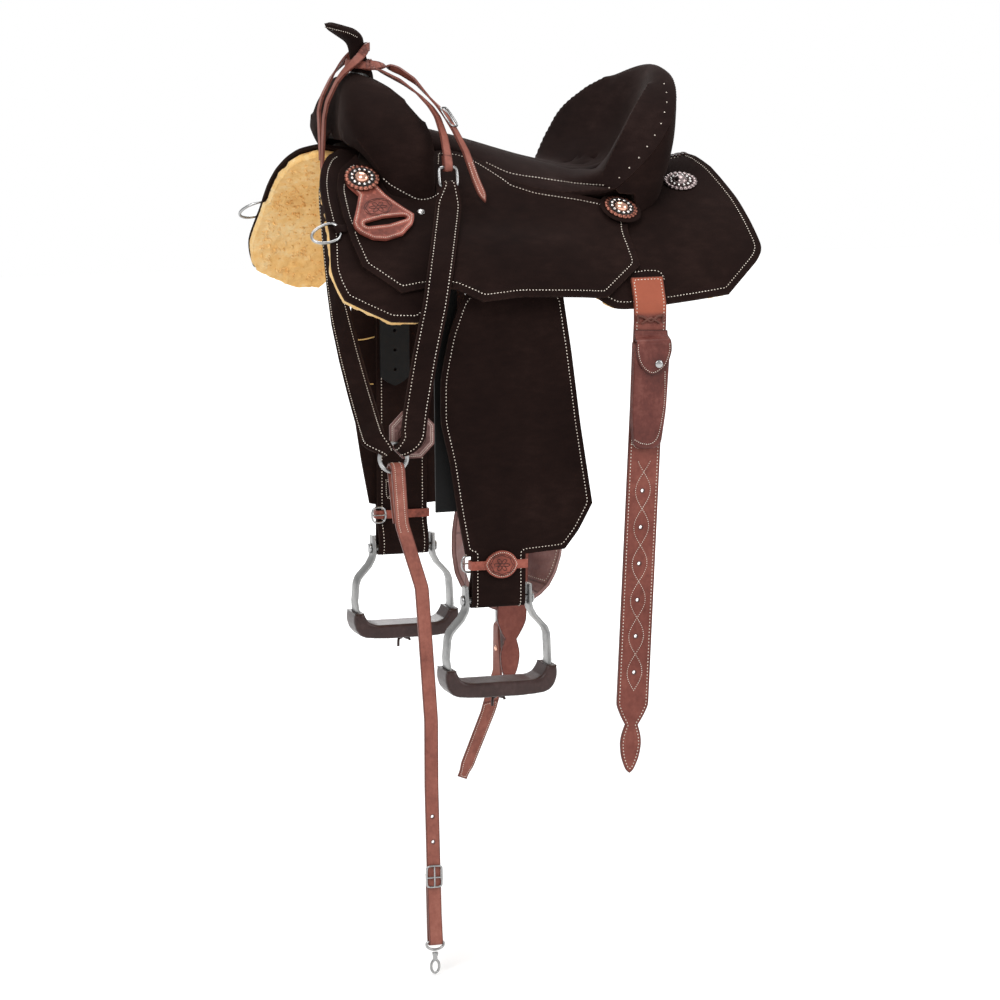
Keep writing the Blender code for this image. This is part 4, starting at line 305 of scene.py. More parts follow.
def agedRelief(name, colour, tarnish, rough):
    # stamped ornament: dark in the hollows, bright on the high places, after its own height attribute
    p = Paint(name)
    cloud = p.noise(260, 4, 0.6)
    high = p.ease(p.read("high") + cloud * 0.35, 0.32, 0.80)
    tone = p.mix(high, tarnish, colour)
    return p.finish(Base_Color=tone, Metallic=1.0, Roughness=rough + (1 - high) * 0.28,
                    Normal=p.bump(cloud, 0.2, 0.3))


def plain(name, dark, light, scale, rough, grain=(1.0, 1.0, 1.0), metal=0.0):
    p = Paint(name)
    lines = p.noise(scale, 4, 0.6, p.stretched(*grain))
    fine = p.noise(scale * 7, 3, 0.6)
    return p.finish(Base_Color=p.ramp(lines * 0.7 + fine * 0.3, [(0.35, dark), (0.66, light)]),
                    Roughness=rough + fine * 0.15, Metallic=metal,
                    Normal=p.bump(lines * 0.5 + fine * 0.5, 0.3, 0.5))


def spun(name, dark, light):
    p = Paint(name)
    twist = p.noise(700, 3, 0.6)
    soil = p.noise(30, 3, 0.5)
    return p.finish(Base_Color=p.ramp(twist * 0.4 + soil * 0.6, [(0.36, dark), (0.60, light)]),
                    Roughness=0.75 + twist * 0.2, Normal=p.bump(twist, 0.4, 0.3))


finishes = {
    "suede": suede("suede", (0.0060, 0.0026, 0.0022), (0.0115, 0.0052, 0.0042), (0.0215, 0.0105, 0.0085),
                   (0.030, 0.014, 0.010)),
    "seatSuede": suede("seatSuede", (0.0075, 0.0036, 0.0032), (0.0150, 0.0076, 0.0066),
                       (0.028, 0.0155, 0.0135), (0.032, 0.016, 0.012)),
    "strap": strapLeather("strapLeather", (0.160, 0.045, 0.031), (0.275, 0.090, 0.064), (0.390, 0.150, 0.110),
                          (0.080, 0.019, 0.013)),
    "billet": strapLeather("billetLeather", (0.100, 0.021, 0.014), (0.180, 0.048, 0.034),
                           (0.265, 0.085, 0.060), (0.045, 0.010, 0.007),
                           fresh=(-0.068, (0.36, 0.088, 0.044))),
    "padded": strapLeather("paddedLeather", (0.190, 0.092, 0.084), (0.280, 0.150, 0.138),
                           (0.370, 0.215, 0.200), (0.090, 0.030, 0.025), 3.0, 0.46),
    "sheath": strapLeather("sheathLeather", (0.060, 0.013, 0.010), (0.120, 0.030, 0.023),
                           (0.225, 0.075, 0.058), (0.028, 0.007, 0.005), 2.2, 0.30),
    "keeper": tooledLeather("keeperLeather", (0.085, 0.018, 0.012), (0.270, 0.068, 0.046),
                            (0.390, 0.120, 0.085), (0.40, 0.15, 0.11), (4.6,)),
    "pad": tooledLeather("padLeather", (0.085, 0.036, 0.031), (0.245, 0.130, 0.118), (0.370, 0.215, 0.198),
                         (0.55, 0.40, 0.36), (3.2, 5.6)),
    "black": strapLeather("blackLeather", (0.0012, 0.0012, 0.0012), (0.0028, 0.0026, 0.0026),
                          (0.0060, 0.0055, 0.0055), (0.002, 0.0018, 0.0018), 2.0, 0.65),
    "tread": strapLeather("treadLeather", (0.020, 0.0095, 0.0085), (0.042, 0.021, 0.019),
                          (0.080, 0.046, 0.043), (0.016, 0.006, 0.005), 2.0, 0.22),
    "wool": woolPile("woolPile", (0.78, 0.43, 0.130), (0.93, 0.58, 0.220), (0.98, 0.76, 0.42)),
    "steel": brightMetal("steel", (0.40, 0.40, 0.40), (0.13, 0.13, 0.13), 0.22),
    "alloy": brightMetal("stirrupAlloy", (0.36, 0.36, 0.355), (0.14, 0.14, 0.145), 0.30, 0.10, 25),
    "iron": plain("hornIron", (0.10, 0.10, 0.10), (0.24, 0.24, 0.24), 60, 0.45, metal=0.9),
    "wood": plain("treeWood", (0.012, 0.0065, 0.0045), (0.034, 0.019, 0.012), 60, 0.55, (0.15, 1.0, 1.0)),
    "petal": agedRelief("conchoPetal", (0.30, 0.115, 0.082), (0.030, 0.010, 0.007), 0.34),
    "copper": agedRelief("conchoCopper", (0.80, 0.46, 0.34), (0.12, 0.045, 0.030), 0.22),
    "silver": agedRelief("conchoSilver", (0.34, 0.275, 0.27), (0.085, 0.055, 0.053), 0.30),
    "bead": brightMetal("conchoBead", (0.74, 0.72, 0.70), (0.24, 0.21, 0.20), 0.18),
    "carved": plain("carvedLine", (0.030, 0.006, 0.004), (0.055, 0.012, 0.008), 300, 0.6),
    "tie": spun("yellowTie", (0.62, 0.36, 0.10), (0.90, 0.62, 0.25)),
    "dark": plain("darkGround", (0.006, 0.004, 0.0035), (0.018, 0.012, 0.010), 300, 0.6),
    "thread": spun("paleThread", (0.55, 0.46, 0.38), (0.86, 0.78, 0.68)),
    "lace": strapLeather("laceLeather", (0.050, 0.016, 0.011), (0.115, 0.036, 0.025), (0.190, 0.070, 0.050),
                         (0.030, 0.010, 0.008), 0.6),
}
print("materials", len(finishes))


# reading and refining the model's surfaces
def meshOf(bm, name):
    mesh = bpy.data.meshes.new(name)
    bm.to_mesh(mesh)
    bm.free()
    return mesh


def addPiece(name, mesh, *paints, **values):
    # an object of a mesh, smooth, with its finishes and the same attribute values all over it
    for label, value in values.items():
        mesh.attributes.new(label, "FLOAT", "POINT").data.foreach_set("value", [value] * len(mesh.vertices))
    for paint in paints:
        mesh.materials.append(finishes[paint])
    mesh.shade_smooth()
    piece = bpy.data.objects.new(name, mesh)
    scene.collection.objects.link(piece)
    return piece


def weld(name):
    bm = bmesh.new()
    bm.from_mesh(nodes[name].data)
    bmesh.ops.remove_doubles(bm, verts=bm.verts, dist=0.00001)
    return bm


def surfaceOf(name):
    bm = weld(name)
    bmesh.ops.triangulate(bm, faces=bm.faces)
    bm.verts.index_update()
    points = np.array([v.co[:] for v in bm.verts])
    tris = np.array([[v.index for v in f.verts] for f in bm.faces])
    bm.free()
    return points, tris


def edgesOf(tris):
    # each edge once, and for every triangle the numbers of its three edges
    pairs = np.sort(np.stack([tris, np.roll(tris, -1, 1)], 2), 2).reshape(-1, 2)
    size = int(pairs.max()) + 1
    keys, back = np.unique(pairs[:, 0] * size + pairs[:, 1], return_inverse=True)
    return np.stack([keys // size, keys % size], 1), back.reshape(-1, 3)


def splitLong(points, tris, cell):
    # halves every edge that is longer than a cell until none is left
    for turn in range(9):
        edges, sides = edgesOf(tris)
        long = np.linalg.norm(points[edges[:, 0]] - points[edges[:, 1]], axis=1) > cell
        if not long.any():
            break
        middle = np.full(len(edges), -1)
        middle[long] = len(points) + np.arange(long.sum())
        points = np.vstack([points, (points[edges[long, 0]] + points[edges[long, 1]]) / 2])
        mids = middle[sides]
        count = (mids >= 0).sum(1)
        made = [tris[count == 0]]
        t, m = tris[count == 3], mids[count == 3]
        made += [np.stack(c, 1) for c in ((t[:, 0], m[:, 0], m[:, 2]), (m[:, 0], t[:, 1], m[:, 1]),
                                          (m[:, 2], m[:, 1], t[:, 2]), (m[:, 0], m[:, 1], m[:, 2]))]
        for shift in range(3):
            chosen = (count == 1) & (mids[:, shift] >= 0)
            t, m = np.roll(tris[chosen], -shift, 1), np.roll(mids[chosen], -shift, 1)
            made += [np.stack((t[:, 0], m[:, 0], t[:, 2]), 1), np.stack((m[:, 0], t[:, 1], t[:, 2]), 1)]
            chosen = (count == 2) & (mids[:, (shift + 2) % 3] < 0)
            t, m = np.roll(tris[chosen], -shift, 1), np.roll(mids[chosen], -shift, 1)
            made.append(np.stack((m[:, 0], t[:, 1], m[:, 1]), 1))
            first = np.linalg.norm(points[t[:, 0]] - points[m[:, 1]],
                                   axis=1) < np.linalg.norm(points[m[:, 0]] - points[t[:, 2]], axis=1)
            a, b = t[first], m[first]
            made += [np.stack((a[:, 0], b[:, 0], b[:, 1]), 1), np.stack((a[:, 0], b[:, 1], a[:, 2]), 1)]
            a, b = t[~first], m[~first]
            made += [np.stack((a[:, 0], b[:, 0], a[:, 2]), 1), np.stack((b[:, 0], b[:, 1], a[:, 2]), 1)]
        tris = np.vstack(made)
    return points, tris


def faceNormals(points, tris):
    normal = np.cross(points[tris[:, 1]] - points[tris[:, 0]], points[tris[:, 2]] - points[tris[:, 0]])
    area = np.linalg.norm(normal, axis=1)
    return normal / np.maximum(area, 1e-15)[:, None], area / 2


def gather(count, edges, values):
    # for every point the sum of its neighbours' values
    out = np.zeros((count, values.shape[1]))
    for a, b in ((0, 1), (1, 0)):
        for k in range(values.shape[1]):
            out[:, k] += np.bincount(edges[:, a], weights=values[edges[:, b], k], minlength=count)
    return out


class Skin:
    # a refined copy of a CAD solid: rounded facets, kept rims, its outer face and the distance to its rim
    def __init__(self, name, cell, rounds, outward, sharp=34.0, rimRounds=3):
        self.name = name
        points, tris = surfaceOf(name)
        points, tris = splitLong(points, tris, cell * mm)
        edges, sides = edgesOf(tris)
        normals, areas = faceNormals(points, tris)
        flat = sides.ravel()
        order = np.argsort(flat, kind="stable")
        faces = np.repeat(np.arange(len(tris)), 3)[order]
        starts = np.searchsorted(flat[order], np.arange(len(edges)))
        first, second = faces[starts], faces[np.minimum(starts + 1, len(faces) - 1)]
        bend = (normals[first] * normals[second]).sum(1)
        solid = (areas[first] > 1e-9) & (areas[second] > 1e-9)
        hard = (bend < math.cos(math.radians(sharp))) & solid
        count = len(points)
        hardCount = np.bincount(edges[hard].ravel(), minlength=count)
        near = np.bincount(edges.ravel(), minlength=count)
        loose = hardCount == 0
        rimSum = gather(count, edges[hard], points)
        way = rimSum - 2 * points
        span = np.linalg.norm(way, axis=1) / (cell * mm)
        along = (hardCount == 2) & (span < 0.45)
        for turn in range(rounds):
            mean = gather(count, edges, points) / np.maximum(near, 1)[:, None]
            moved = points.copy()
            moved[loose] += 0.6 * (mean - points)[loose]
            if turn < rimRounds:
                rim = gather(count, edges[hard], points) / 2
                moved[along] += 0.5 * (rim - points)[along]
            points = moved
        # patches between hard edges
        label = np.arange(len(tris))
        softPairs = np.stack([first, second], 1)[~hard]
        for turn in range(400):
            low = np.minimum(label[softPairs[:, 0]], label[softPairs[:, 1]])
            fresh = label.copy()
            np.minimum.at(fresh, softPairs[:, 0], low)
            np.minimum.at(fresh, softPairs[:, 1], low)
            fresh = fresh[fresh]
            if (fresh == label).all():
                break
            label = fresh
        normals, areas = faceNormals(points, tris)
        self.points, self.tris, self.normals, self.areas = points, tris, normals, areas
        self.edges, self.sides, self.hard, self.label = edges, sides, hard, label
        self.rim = self.distance(edges[hard])
        self.choose(outward)
        vertexNormal = np.zeros((count, 3))
        for k in range(3):
            for axis in range(3):
                vertexNormal[:, axis] += np.bincount(tris[:, k], weights=(normals * areas[:, None])[:, axis],
                                                     minlength=count)
        self.vertexNormal = vertexNormal / np.maximum(np.linalg.norm(vertexNormal, axis=1), 1e-12)[:, None]

    def choose(self, outward):
        # takes the patch that faces most along a direction as the outer one
        score = np.bincount(self.label, weights=self.areas * (self.normals @ np.array(outward)),
                            minlength=len(self.tris))
        self.top = self.label == int(np.argmax(score))
        topEdges = np.zeros(len(self.edges), bool)
        topEdges[self.sides[self.top].ravel()] = True
        self.topRim = self.distance(self.edges[self.hard & topEdges])

    def distance(self, border):
        if not len(border):
            return np.full(len(self.points), 1.0)
        spots = np.vstack([self.points[border[:, 0]] * (1 - t) + self.points[border[:, 1]] * t
                           for t in (0.0, 0.25, 0.5, 0.75)])
        tree = kdtree.KDTree(len(spots))
        for i, spot in enumerate(spots):
            tree.insert(spot, i)
        tree.balance()
        return np.array([tree.find(p)[2] for p in self.points])

    def piece(self, name, paint):
        mesh = bpy.data.meshes.new(name)
        mesh.from_pydata(self.points.tolist(), [], self.tris.tolist())
        mesh.attributes.new("rim", "FLOAT", "POINT").data.foreach_set("value", self.rim.astype(np.float32))
        piece = addPiece(name, mesh, paint)
        hardKeys = {(int(a), int(b)) for a, b in self.edges[self.hard]}
        marks = mesh.attributes.new("sharp_edge", "BOOLEAN", "EDGE")
        marks.data.foreach_set("value", [tuple(sorted(e.vertices)) in hardKeys for e in mesh.edges])
        return piece

    def rows(self, inset, field=None):
        # lines on the outer face at one distance from its rim
        field = self.topRim if field is None else field
        level = inset * mm
        tris = self.tris[self.top]
        joined = {}
        spots = {}
        for t in tris[(field[tris].min(1) < level) & (field[tris].max(1) >= level)]:
            ends = []
            for a, b in ((t[0], t[1]), (t[1], t[2]), (t[2], t[0])):
                if (field[a] < level) != (field[b] < level):
                    key = (min(a, b), max(a, b))
                    share = (level - field[a]) / (field[b] - field[a])
                    spots[key] = (self.points[a] * (1 - share) + self.points[b] * share,
                                  self.vertexNormal[a] * (1 - share) + self.vertexNormal[b] * share)
                    ends.append(key)
            if len(ends) == 2:
                joined.setdefault(ends[0], []).append(ends[1])
                joined.setdefault(ends[1], []).append(ends[0])
        lines = []
        left = set(joined)
        while left:
            start = next((k for k in sorted(left) if len(joined[k]) == 1), min(left))
            chain = [start]
            left.discard(start)
            while True:
                following = [k for k in joined[chain[-1]] if k in left]
                if not following:
                    break
                chain.append(following[0])
                left.discard(following[0])
            closed = len(chain) > 2 and chain[0] in joined[chain[-1]]
            lines.append((np.array([spots[k][0] for k in chain]), np.array([spots[k][1] for k in chain]),
                          closed))
        return lines


def put(obj, name, body=None, slot=None):
    # the piece stands for a CAD node, or just rides with a body
    if body is None:
        body = nodes[name]["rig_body"]
        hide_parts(name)
    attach(obj, body)
    return obj


everyPoint, everyTri, owner = [], [], []
for name in sorted(nodes):
    points, tris = surfaceOf(name)
    everyTri.append(tris + sum(len(p) for p in everyPoint))
    everyPoint.append(points)
    owner += [name] * len(tris)
allSkins = BVHTree.FromPolygons(np.vstack(everyPoint).tolist(), np.vstack(everyTri).tolist())


def covered(point, normal, own, reach, ignored):
    # whether another solid lies over a point within reach, apart from the ignored ones
    start = Vector(point) + Vector(normal) * (0.5 * mm)
    gone = 0.0
    while gone < reach * mm:
        hit, n, index, far = allSkins.ray_cast(start, Vector(normal), reach * mm - gone)
        if hit is None:
            return False
        if owner[index] not in ignored and owner[index] != own:
            return True
        gone += far + 0.2 * mm
        start = hit + Vector(normal) * (0.2 * mm)
    return False


def landOn(px, py, *names):
    # the point of these solids that the picture shows at a pixel, with the way it faces
    start, way = photoRay(px, py)
    for turn in range(40):
        hit, normal, index, far = allSkins.ray_cast(start, way)
        if hit is None:
            raise RuntimeError("no %s at %d, %d" % (names[0], px, py))
        if owner[index] in names:
            return hit, normal if normal.dot(way) < 0 else -normal
        start = hit + way * 0.0002


# Geometry Nodes: stitches along paths, round beads on points, tufts of wool on a surface
def newTree(name, inputs):
    tree = bpy.data.node_groups.new(name, "GeometryNodeTree")
    tree.interface.new_socket("Geometry", in_out="INPUT", socket_type="NodeSocketGeometry")
    for label, kind, value in inputs:
        socket = tree.interface.new_socket(label, in_out="INPUT", socket_type=kind)
        if value is not None:
            socket.default_value = value
    tree.interface.new_socket("Geometry", in_out="OUTPUT", socket_type="NodeSocketGeometry")
    return tree, tree.nodes.new("NodeGroupInput"), tree.nodes.new("NodeGroupOutput")


def addNode(tree, kind, settings=None, sockets=None):
    node = tree.nodes.new(kind)
    for key, value in (settings or {}).items():
        setattr(node, key, value)
    for key, value in (sockets or {}).items():
        if isinstance(value, bpy.types.NodeSocket):
            tree.links.new(value, node.inputs[key])
        else:
            node.inputs[key].default_value = value
    return node


def endTree(tree, out, instances, material, smooth=True):
    # makes the instances real, paints them and hands them out
    real = addNode(tree, "GeometryNodeRealizeInstances", {}, {0: instances.outputs[0]})
    if smooth:
        real = addNode(tree, "GeometryNodeSetShadeSmooth", {}, {0: real.outputs[0]})
    painted = addNode(tree, "GeometryNodeSetMaterial", {},
                      {"Geometry": real.outputs[0], "Material": material})
    tree.links.new(painted.outputs[0], out.inputs[0])
    return tree


def stitchTree():
    tree, given, out = newTree("stitches", (("Pitch", "NodeSocketFloat", 0.0046),
                                            ("Length", "NodeSocketFloat", 0.0034),
                                            ("Width", "NodeSocketFloat", 0.0011),
                                            ("Thread", "NodeSocketMaterial", None)))
    path = addNode(tree, "GeometryNodeMeshToCurve", {}, {"Mesh": given.outputs["Geometry"]})
    even = addNode(tree, "GeometryNodeResampleCurve", {"mode": "LENGTH"},
                   {"Curve": path.outputs[0], "Length": given.outputs["Pitch"]})
    tangent = addNode(tree, "GeometryNodeInputTangent")
    turn = addNode(tree, "FunctionNodeAlignRotationToVector", {"axis": "Z"}, {"Vector": tangent.outputs[0]})
    seed = addNode(tree, "GeometryNodeMeshUVSphere", {}, {"Segments": 6, "Rings": 4, "Radius": 0.5})
    shape = addNode(tree, "ShaderNodeCombineXYZ", {}, {0: given.outputs["Width"], 1: given.outputs["Width"],
                                                       2: given.outputs["Length"]})
    stretched = addNode(tree, "GeometryNodeTransform", {},
                        {"Geometry": seed.outputs[0], "Scale": shape.outputs[0]})
    spread = addNode(tree, "GeometryNodeInstanceOnPoints", {},
                     {"Points": even.outputs[0], "Instance": stretched.outputs[0],
                      "Rotation": turn.outputs[0]})
    return endTree(tree, out, spread, given.outputs["Thread"], False)


def beadTree():
    tree, given, out = newTree("beads", (("Radius", "NodeSocketFloat", 0.0015),
                                         ("Metal", "NodeSocketMaterial", None)))
    ball = addNode(tree, "GeometryNodeMeshUVSphere", {},
                   {"Segments": 12, "Rings": 8, "Radius": given.outputs["Radius"]})
    dots = addNode(tree, "GeometryNodeMeshToPoints", {}, {"Mesh": given.outputs["Geometry"]})
    spread = addNode(tree, "GeometryNodeInstanceOnPoints", {},
                     {"Points": dots.outputs[0], "Instance": ball.outputs[0]})
    return endTree(tree, out, spread, given.outputs["Metal"])


def tuftTree():
    tree, given, out = newTree("tufts", (("Density", "NodeSocketFloat", 9000.0),
                                         ("Size", "NodeSocketFloat", 0.0036), ("Seed", "NodeSocketInt", 7),
                                         ("Wool", "NodeSocketMaterial", None)))
    spots = addNode(tree, "GeometryNodeDistributePointsOnFaces", {"distribute_method": "RANDOM"},
                    {"Mesh": given.outputs["Geometry"], "Density": given.outputs["Density"],
                     "Seed": given.outputs["Seed"]})
    ball = addNode(tree, "GeometryNodeMeshUVSphere", {}, {"Segments": 6, "Rings": 4, "Radius": 0.5})
    lock = addNode(tree, "GeometryNodeTransform", {}, {"Geometry": ball.outputs[0], "Scale": (0.8, 0.8, 1.9)})
    spin = addNode(tree, "FunctionNodeRandomValue", {"data_type": "FLOAT_VECTOR"},
                   {"Min": (-0.9, -0.9, -3.1), "Max": (0.9, 0.9, 3.1), "Seed": given.outputs["Seed"]})
    size = addNode(tree, "FunctionNodeRandomValue", {"data_type": "FLOAT"},
                   {2: 0.5, 3: 1.5, "Seed": given.outputs["Seed"]})
    scale = addNode(tree, "ShaderNodeMath", {"operation": "MULTIPLY"},
                    {0: size.outputs[1], 1: given.outputs["Size"]})
    spread = addNode(tree, "GeometryNodeInstanceOnPoints", {},
                     {"Points": spots.outputs[0], "Instance": lock.outputs[0],
                      "Rotation": spots.outputs["Rotation"], "Scale": scale.outputs[0]})
    tilt = addNode(tree, "GeometryNodeRotateInstances", {},
                   {"Instances": spread.outputs[0], "Rotation": spin.outputs[0]})
    return endTree(tree, out, tilt, given.outputs["Wool"])


def grow(name, mesh, tree, inputs):
    # runs a tree on a mesh and keeps the result as a plain mesh
    carrier = bpy.data.objects.new(name, mesh)
    scene.collection.objects.link(carrier)
    mod = carrier.modifiers.new(tree.name, "NODES")
    mod.node_group = tree
    for item in tree.interface.items_tree:
        if item.item_type == "SOCKET" and item.in_out == "INPUT" and item.name in inputs:
            mod[item.identifier] = inputs[item.name]
    bpy.context.view_layer.update()
    made = bpy.data.meshes.new_from_object(carrier.evaluated_get(bpy.context.evaluated_depsgraph_get()))
    carrier.modifiers.remove(mod)
    carrier.data = made
    made.name = name
    return carrier


stitches, beads, tufts = stitchTree(), beadTree(), tuftTree()
threadRuns = {}


def addRun(body, kind, points, closed=False):
    threadRuns.setdefault((body, kind), []).append((np.array(points, float), closed))


def sewRim(skin, inset, reach, least, keep, kind):
    # a row of stitches along the rim of a piece, left out where another piece lies over it
    body = nodes[skin.name]["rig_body"]
    for line, ways, closed in skin.rows(inset):
        length = np.linalg.norm(np.diff(line, axis=0), axis=1).sum() / mm
        if length < least:
            continue
        ways = ways / np.linalg.norm(ways, axis=1)[:, None]
        for turn in range(2):
            soft = (np.roll(line, 1, 0) + np.roll(line, -1, 0)) / 2
            if not closed:
                soft[0], soft[-1] = line[0], line[-1]
            line = line * 0.6 + soft * 0.4
        shown = [not covered(p, n, skin.name, reach, overhead) and (keep is None or keep(p))
                 for p, n in zip(line, ways)]
        line = line + ways * 0.15 * mm
        if all(shown):
            addRun(body, kind, line, closed)
            continue
        if not any(shown):
            continue
        if closed:
            start = shown.index(False)
            line, shown = np.roll(line, -start, 0), shown[start:] + shown[:start]
        run = []
        for p, seen in list(zip(line, shown)) + [(None, False)]:
            if seen:
                run.append(p)
            elif run:
                if len(run) > 3:
                    addRun(body, kind, run)
                run = []


# leather pieces: each stands for its CAD node
# a name that ends in _ stands for the near and the far piece, whose faces look to opposite sides
suedePiece = dict(paint="suede", slot="suede")
tanPiece = dict(paint="strap", slot="tan_leather", out=(0, -1, 0))
tooledPiece = dict(slot="tooled_leather", least=30, kind="small")
covers = {
    "skirt_": dict(suedePiece, cell=8, rounds=26, out=(0, 0.8, 0.6), sew=9.0, reach=50),
    "jockey_": dict(suedePiece, cell=7, rounds=22, out=(0, 0.8, 0.6), sew=9.0, reach=14, hold="jockeyRow"),
    "fork_cover": dict(suedePiece, cell=6, rounds=10, out=(-0.2, 0, 1.0), sharp=50),
    "horn_wrap": dict(suedePiece, cell=4, rounds=8, out=(0, 0, 1.0), sharp=60),
    "cantle_cover": dict(suedePiece, cell=7, rounds=12, out=(1.0, 0, 0.3), sharp=45),
    "fender_": dict(suedePiece, cell=8, rounds=10, out=(0, 1, 0), sew=7.0, reach=8),
    "collar_arm_near": dict(suedePiece, cell=4, rounds=5, out=(-0.2, -1, 0.3), sew=4.2, reach=4),
    "collar_arm_far": dict(suedePiece, cell=4, rounds=5, out=(-0.7, -0.8, 0.4), sew=4.2, reach=4),
    "latigo_keeper": dict(tooledPiece, cell=1.6, rounds=14, out=(0, -0.8, 0.6), paint="keeper", sew=3.2,
                          reach=3),
    "tooled_pad": dict(tooledPiece, cell=1.6, rounds=0, out=(0, -1, 0), paint="pad", sew=3.2, reach=4),
    "hobble_": dict(tooledPiece, cell=2.4, rounds=8, out=(0, 1, 0), paint="keeper", bare=True, sew=2.4,
                    reach=2),
    "wither_strap_near": dict(tanPiece, cell=4, rounds=4, out=(0, -1, 0.4), sew=2.6, reach=1.0,
                              hold="witherRow",
                              kind="small"),
    "wither_strap_far": dict(tanPiece, cell=4, rounds=4, out=(-1, 0, 0.3)),
    "tie_down_strap": dict(tanPiece, cell=4, rounds=3, sew=4.6, reach=1, least=30, hold="tieRow",
                           kind="small"),
    "flank_billet_near": dict(tanPiece, cell=4, rounds=3, paint="billet", sew=3.6, reach=2.5, least=200),
    "flank_billet_far": dict(tanPiece, cell=5, rounds=3, out=(0, 1, 0), paint="billet", sew=3.6, reach=2.5,
                             least=200),
    "hoof_pick_sheath": dict(tanPiece, cell=3, rounds=5, paint="sheath", sharp=70, sew=3.6, reach=2, least=30,
                             kind="small", hold="sheathRow"),
    "sheath_flap": dict(tanPiece, cell=2.5, rounds=4, out=(0, -1, 0.2), paint="sheath", sew=3.0, reach=1,
                        least=30,
                        kind="small", hold="flapRow"),
    "flank_cinch": dict(cell=5, rounds=5, out=(0.3, 1, -0.3), paint="padded", slot="padded_leather", sew=5.0,
                        reach=1.0, least=200, both=True),
    "connector_strap": dict(tanPiece, cell=3, rounds=4, sew=2.6, reach=1, least=60, kind="small"),
    "latigo_strap": dict(cell=5, rounds=3, out=(0, -1, 0), paint="black", slot="black_leather"),
    "off_billet": dict(cell=5, rounds=3, out=(0, 1, 0), paint="black", slot="black_leather"),
    "tread_wrap_": dict(cell=3, rounds=5, out=(0, 1, 0), paint="tread", slot="tread_leather", sharp=50,
                        sew=3.5,
                        reach=1, least=60, kind="lace", hold="treadRow", both=True),
}
overhead = ("collar_arm_near", "collar_arm_far", "wither_strap_near", "wither_strap_far", "arm_ring_near",
            "wither_buckle", "flank_billet_near", "flank_billet_far")
skins = {}
rowLimits = {
    # where a row of stitches is sewn, for pieces that don't have one all round
    "jockeyRow": lambda p: not (p[0] < -0.118 and abs(p[1]) < 0.178 and p[0] > -0.232),
    "tieRow": lambda p: p[2] > -0.352,
    "sheathRow": lambda p: p[2] < -0.112 and (p[0] > sheathMiddle(p[2]) or p[2] < -0.240),
    "flapRow": lambda p: p[2] < -0.108,
    "treadRow": lambda p: abs(p[0] + 0.078) > 0.044,
    "witherRow": lambda p: p[2] < 0.135,
}


def sheathMiddle(z):
    return 0.129 - 0.026 * ((-0.060 - z) / 0.600)


def addCover(name, s, outward):
    skin = Skin(name, s["cell"], s["rounds"], outward, s.get("sharp", 34.0))
    skins[name] = skin
    if s.get("bare"):
        skin.rim[:] = 4 * mm
    put(skin.piece(name + "_leather", s["paint"]), name, None, s["slot"])
    if "sew" not in s:
        return
    for faces in range(2 if s.get("both") else 1):
        if faces:
            skin.choose(-np.array(outward, float))
        rule = rowLimits.get(s.get("hold"))
        sewRim(skin, s["sew"], s["reach"], s.get("least", 60.0), rule, s.get("kind", "pale"))


for name, s in covers.items():
    if name.endswith("_"):
        x, y, z = s["out"]
        addCover(name + "near", s, (x, -y, z))
        addCover(name + "far", s, (x, y, z))
    else:
        addCover(name, s, s["out"])
print("leather pieces", len(skins))


# seat: a padded cover, crowned between its seams
seatForm = {"cell": 6.0, "rounds": 34, "crown": 3.5, "reach": 30.0, "fill": 0.9, "sharp": 78.0}
seat = Skin("seat_cover", seatForm["cell"], seatForm["rounds"], (0, 0, 1.0), seatForm["sharp"])
seatTop = np.zeros(len(seat.points), bool)
seatTop[seat.tris[seat.top].ravel()] = True
swell = np.clip(seat.topRim / (seatForm["reach"] * mm), 0, 1)
swell = np.sqrt(1 - (1 - swell) ** 2) * seatForm["crown"] * mm
seat.points[seatTop] += (seat.vertexNormal * swell[:, None])[seatTop]
seatPiece = put(seat.piece("seat_padding", "seatSuede"), "seat_cover", None, "suede")
seatTree = BVHTree.FromPolygons(seat.points.tolist(), seat.tris.tolist())
print("seat", len(seat.tris))

# a leather patch over the two slots that the CAD's seat has in its dish, level with the seat round them
dishForm = {"x": (0.052, 0.164), "y": (-0.056, 0.056), "step": 0.004, "under": 0.4, "rounds": 400,
            "thick": 2.0, "steep": 0.6, "start": 0.115}


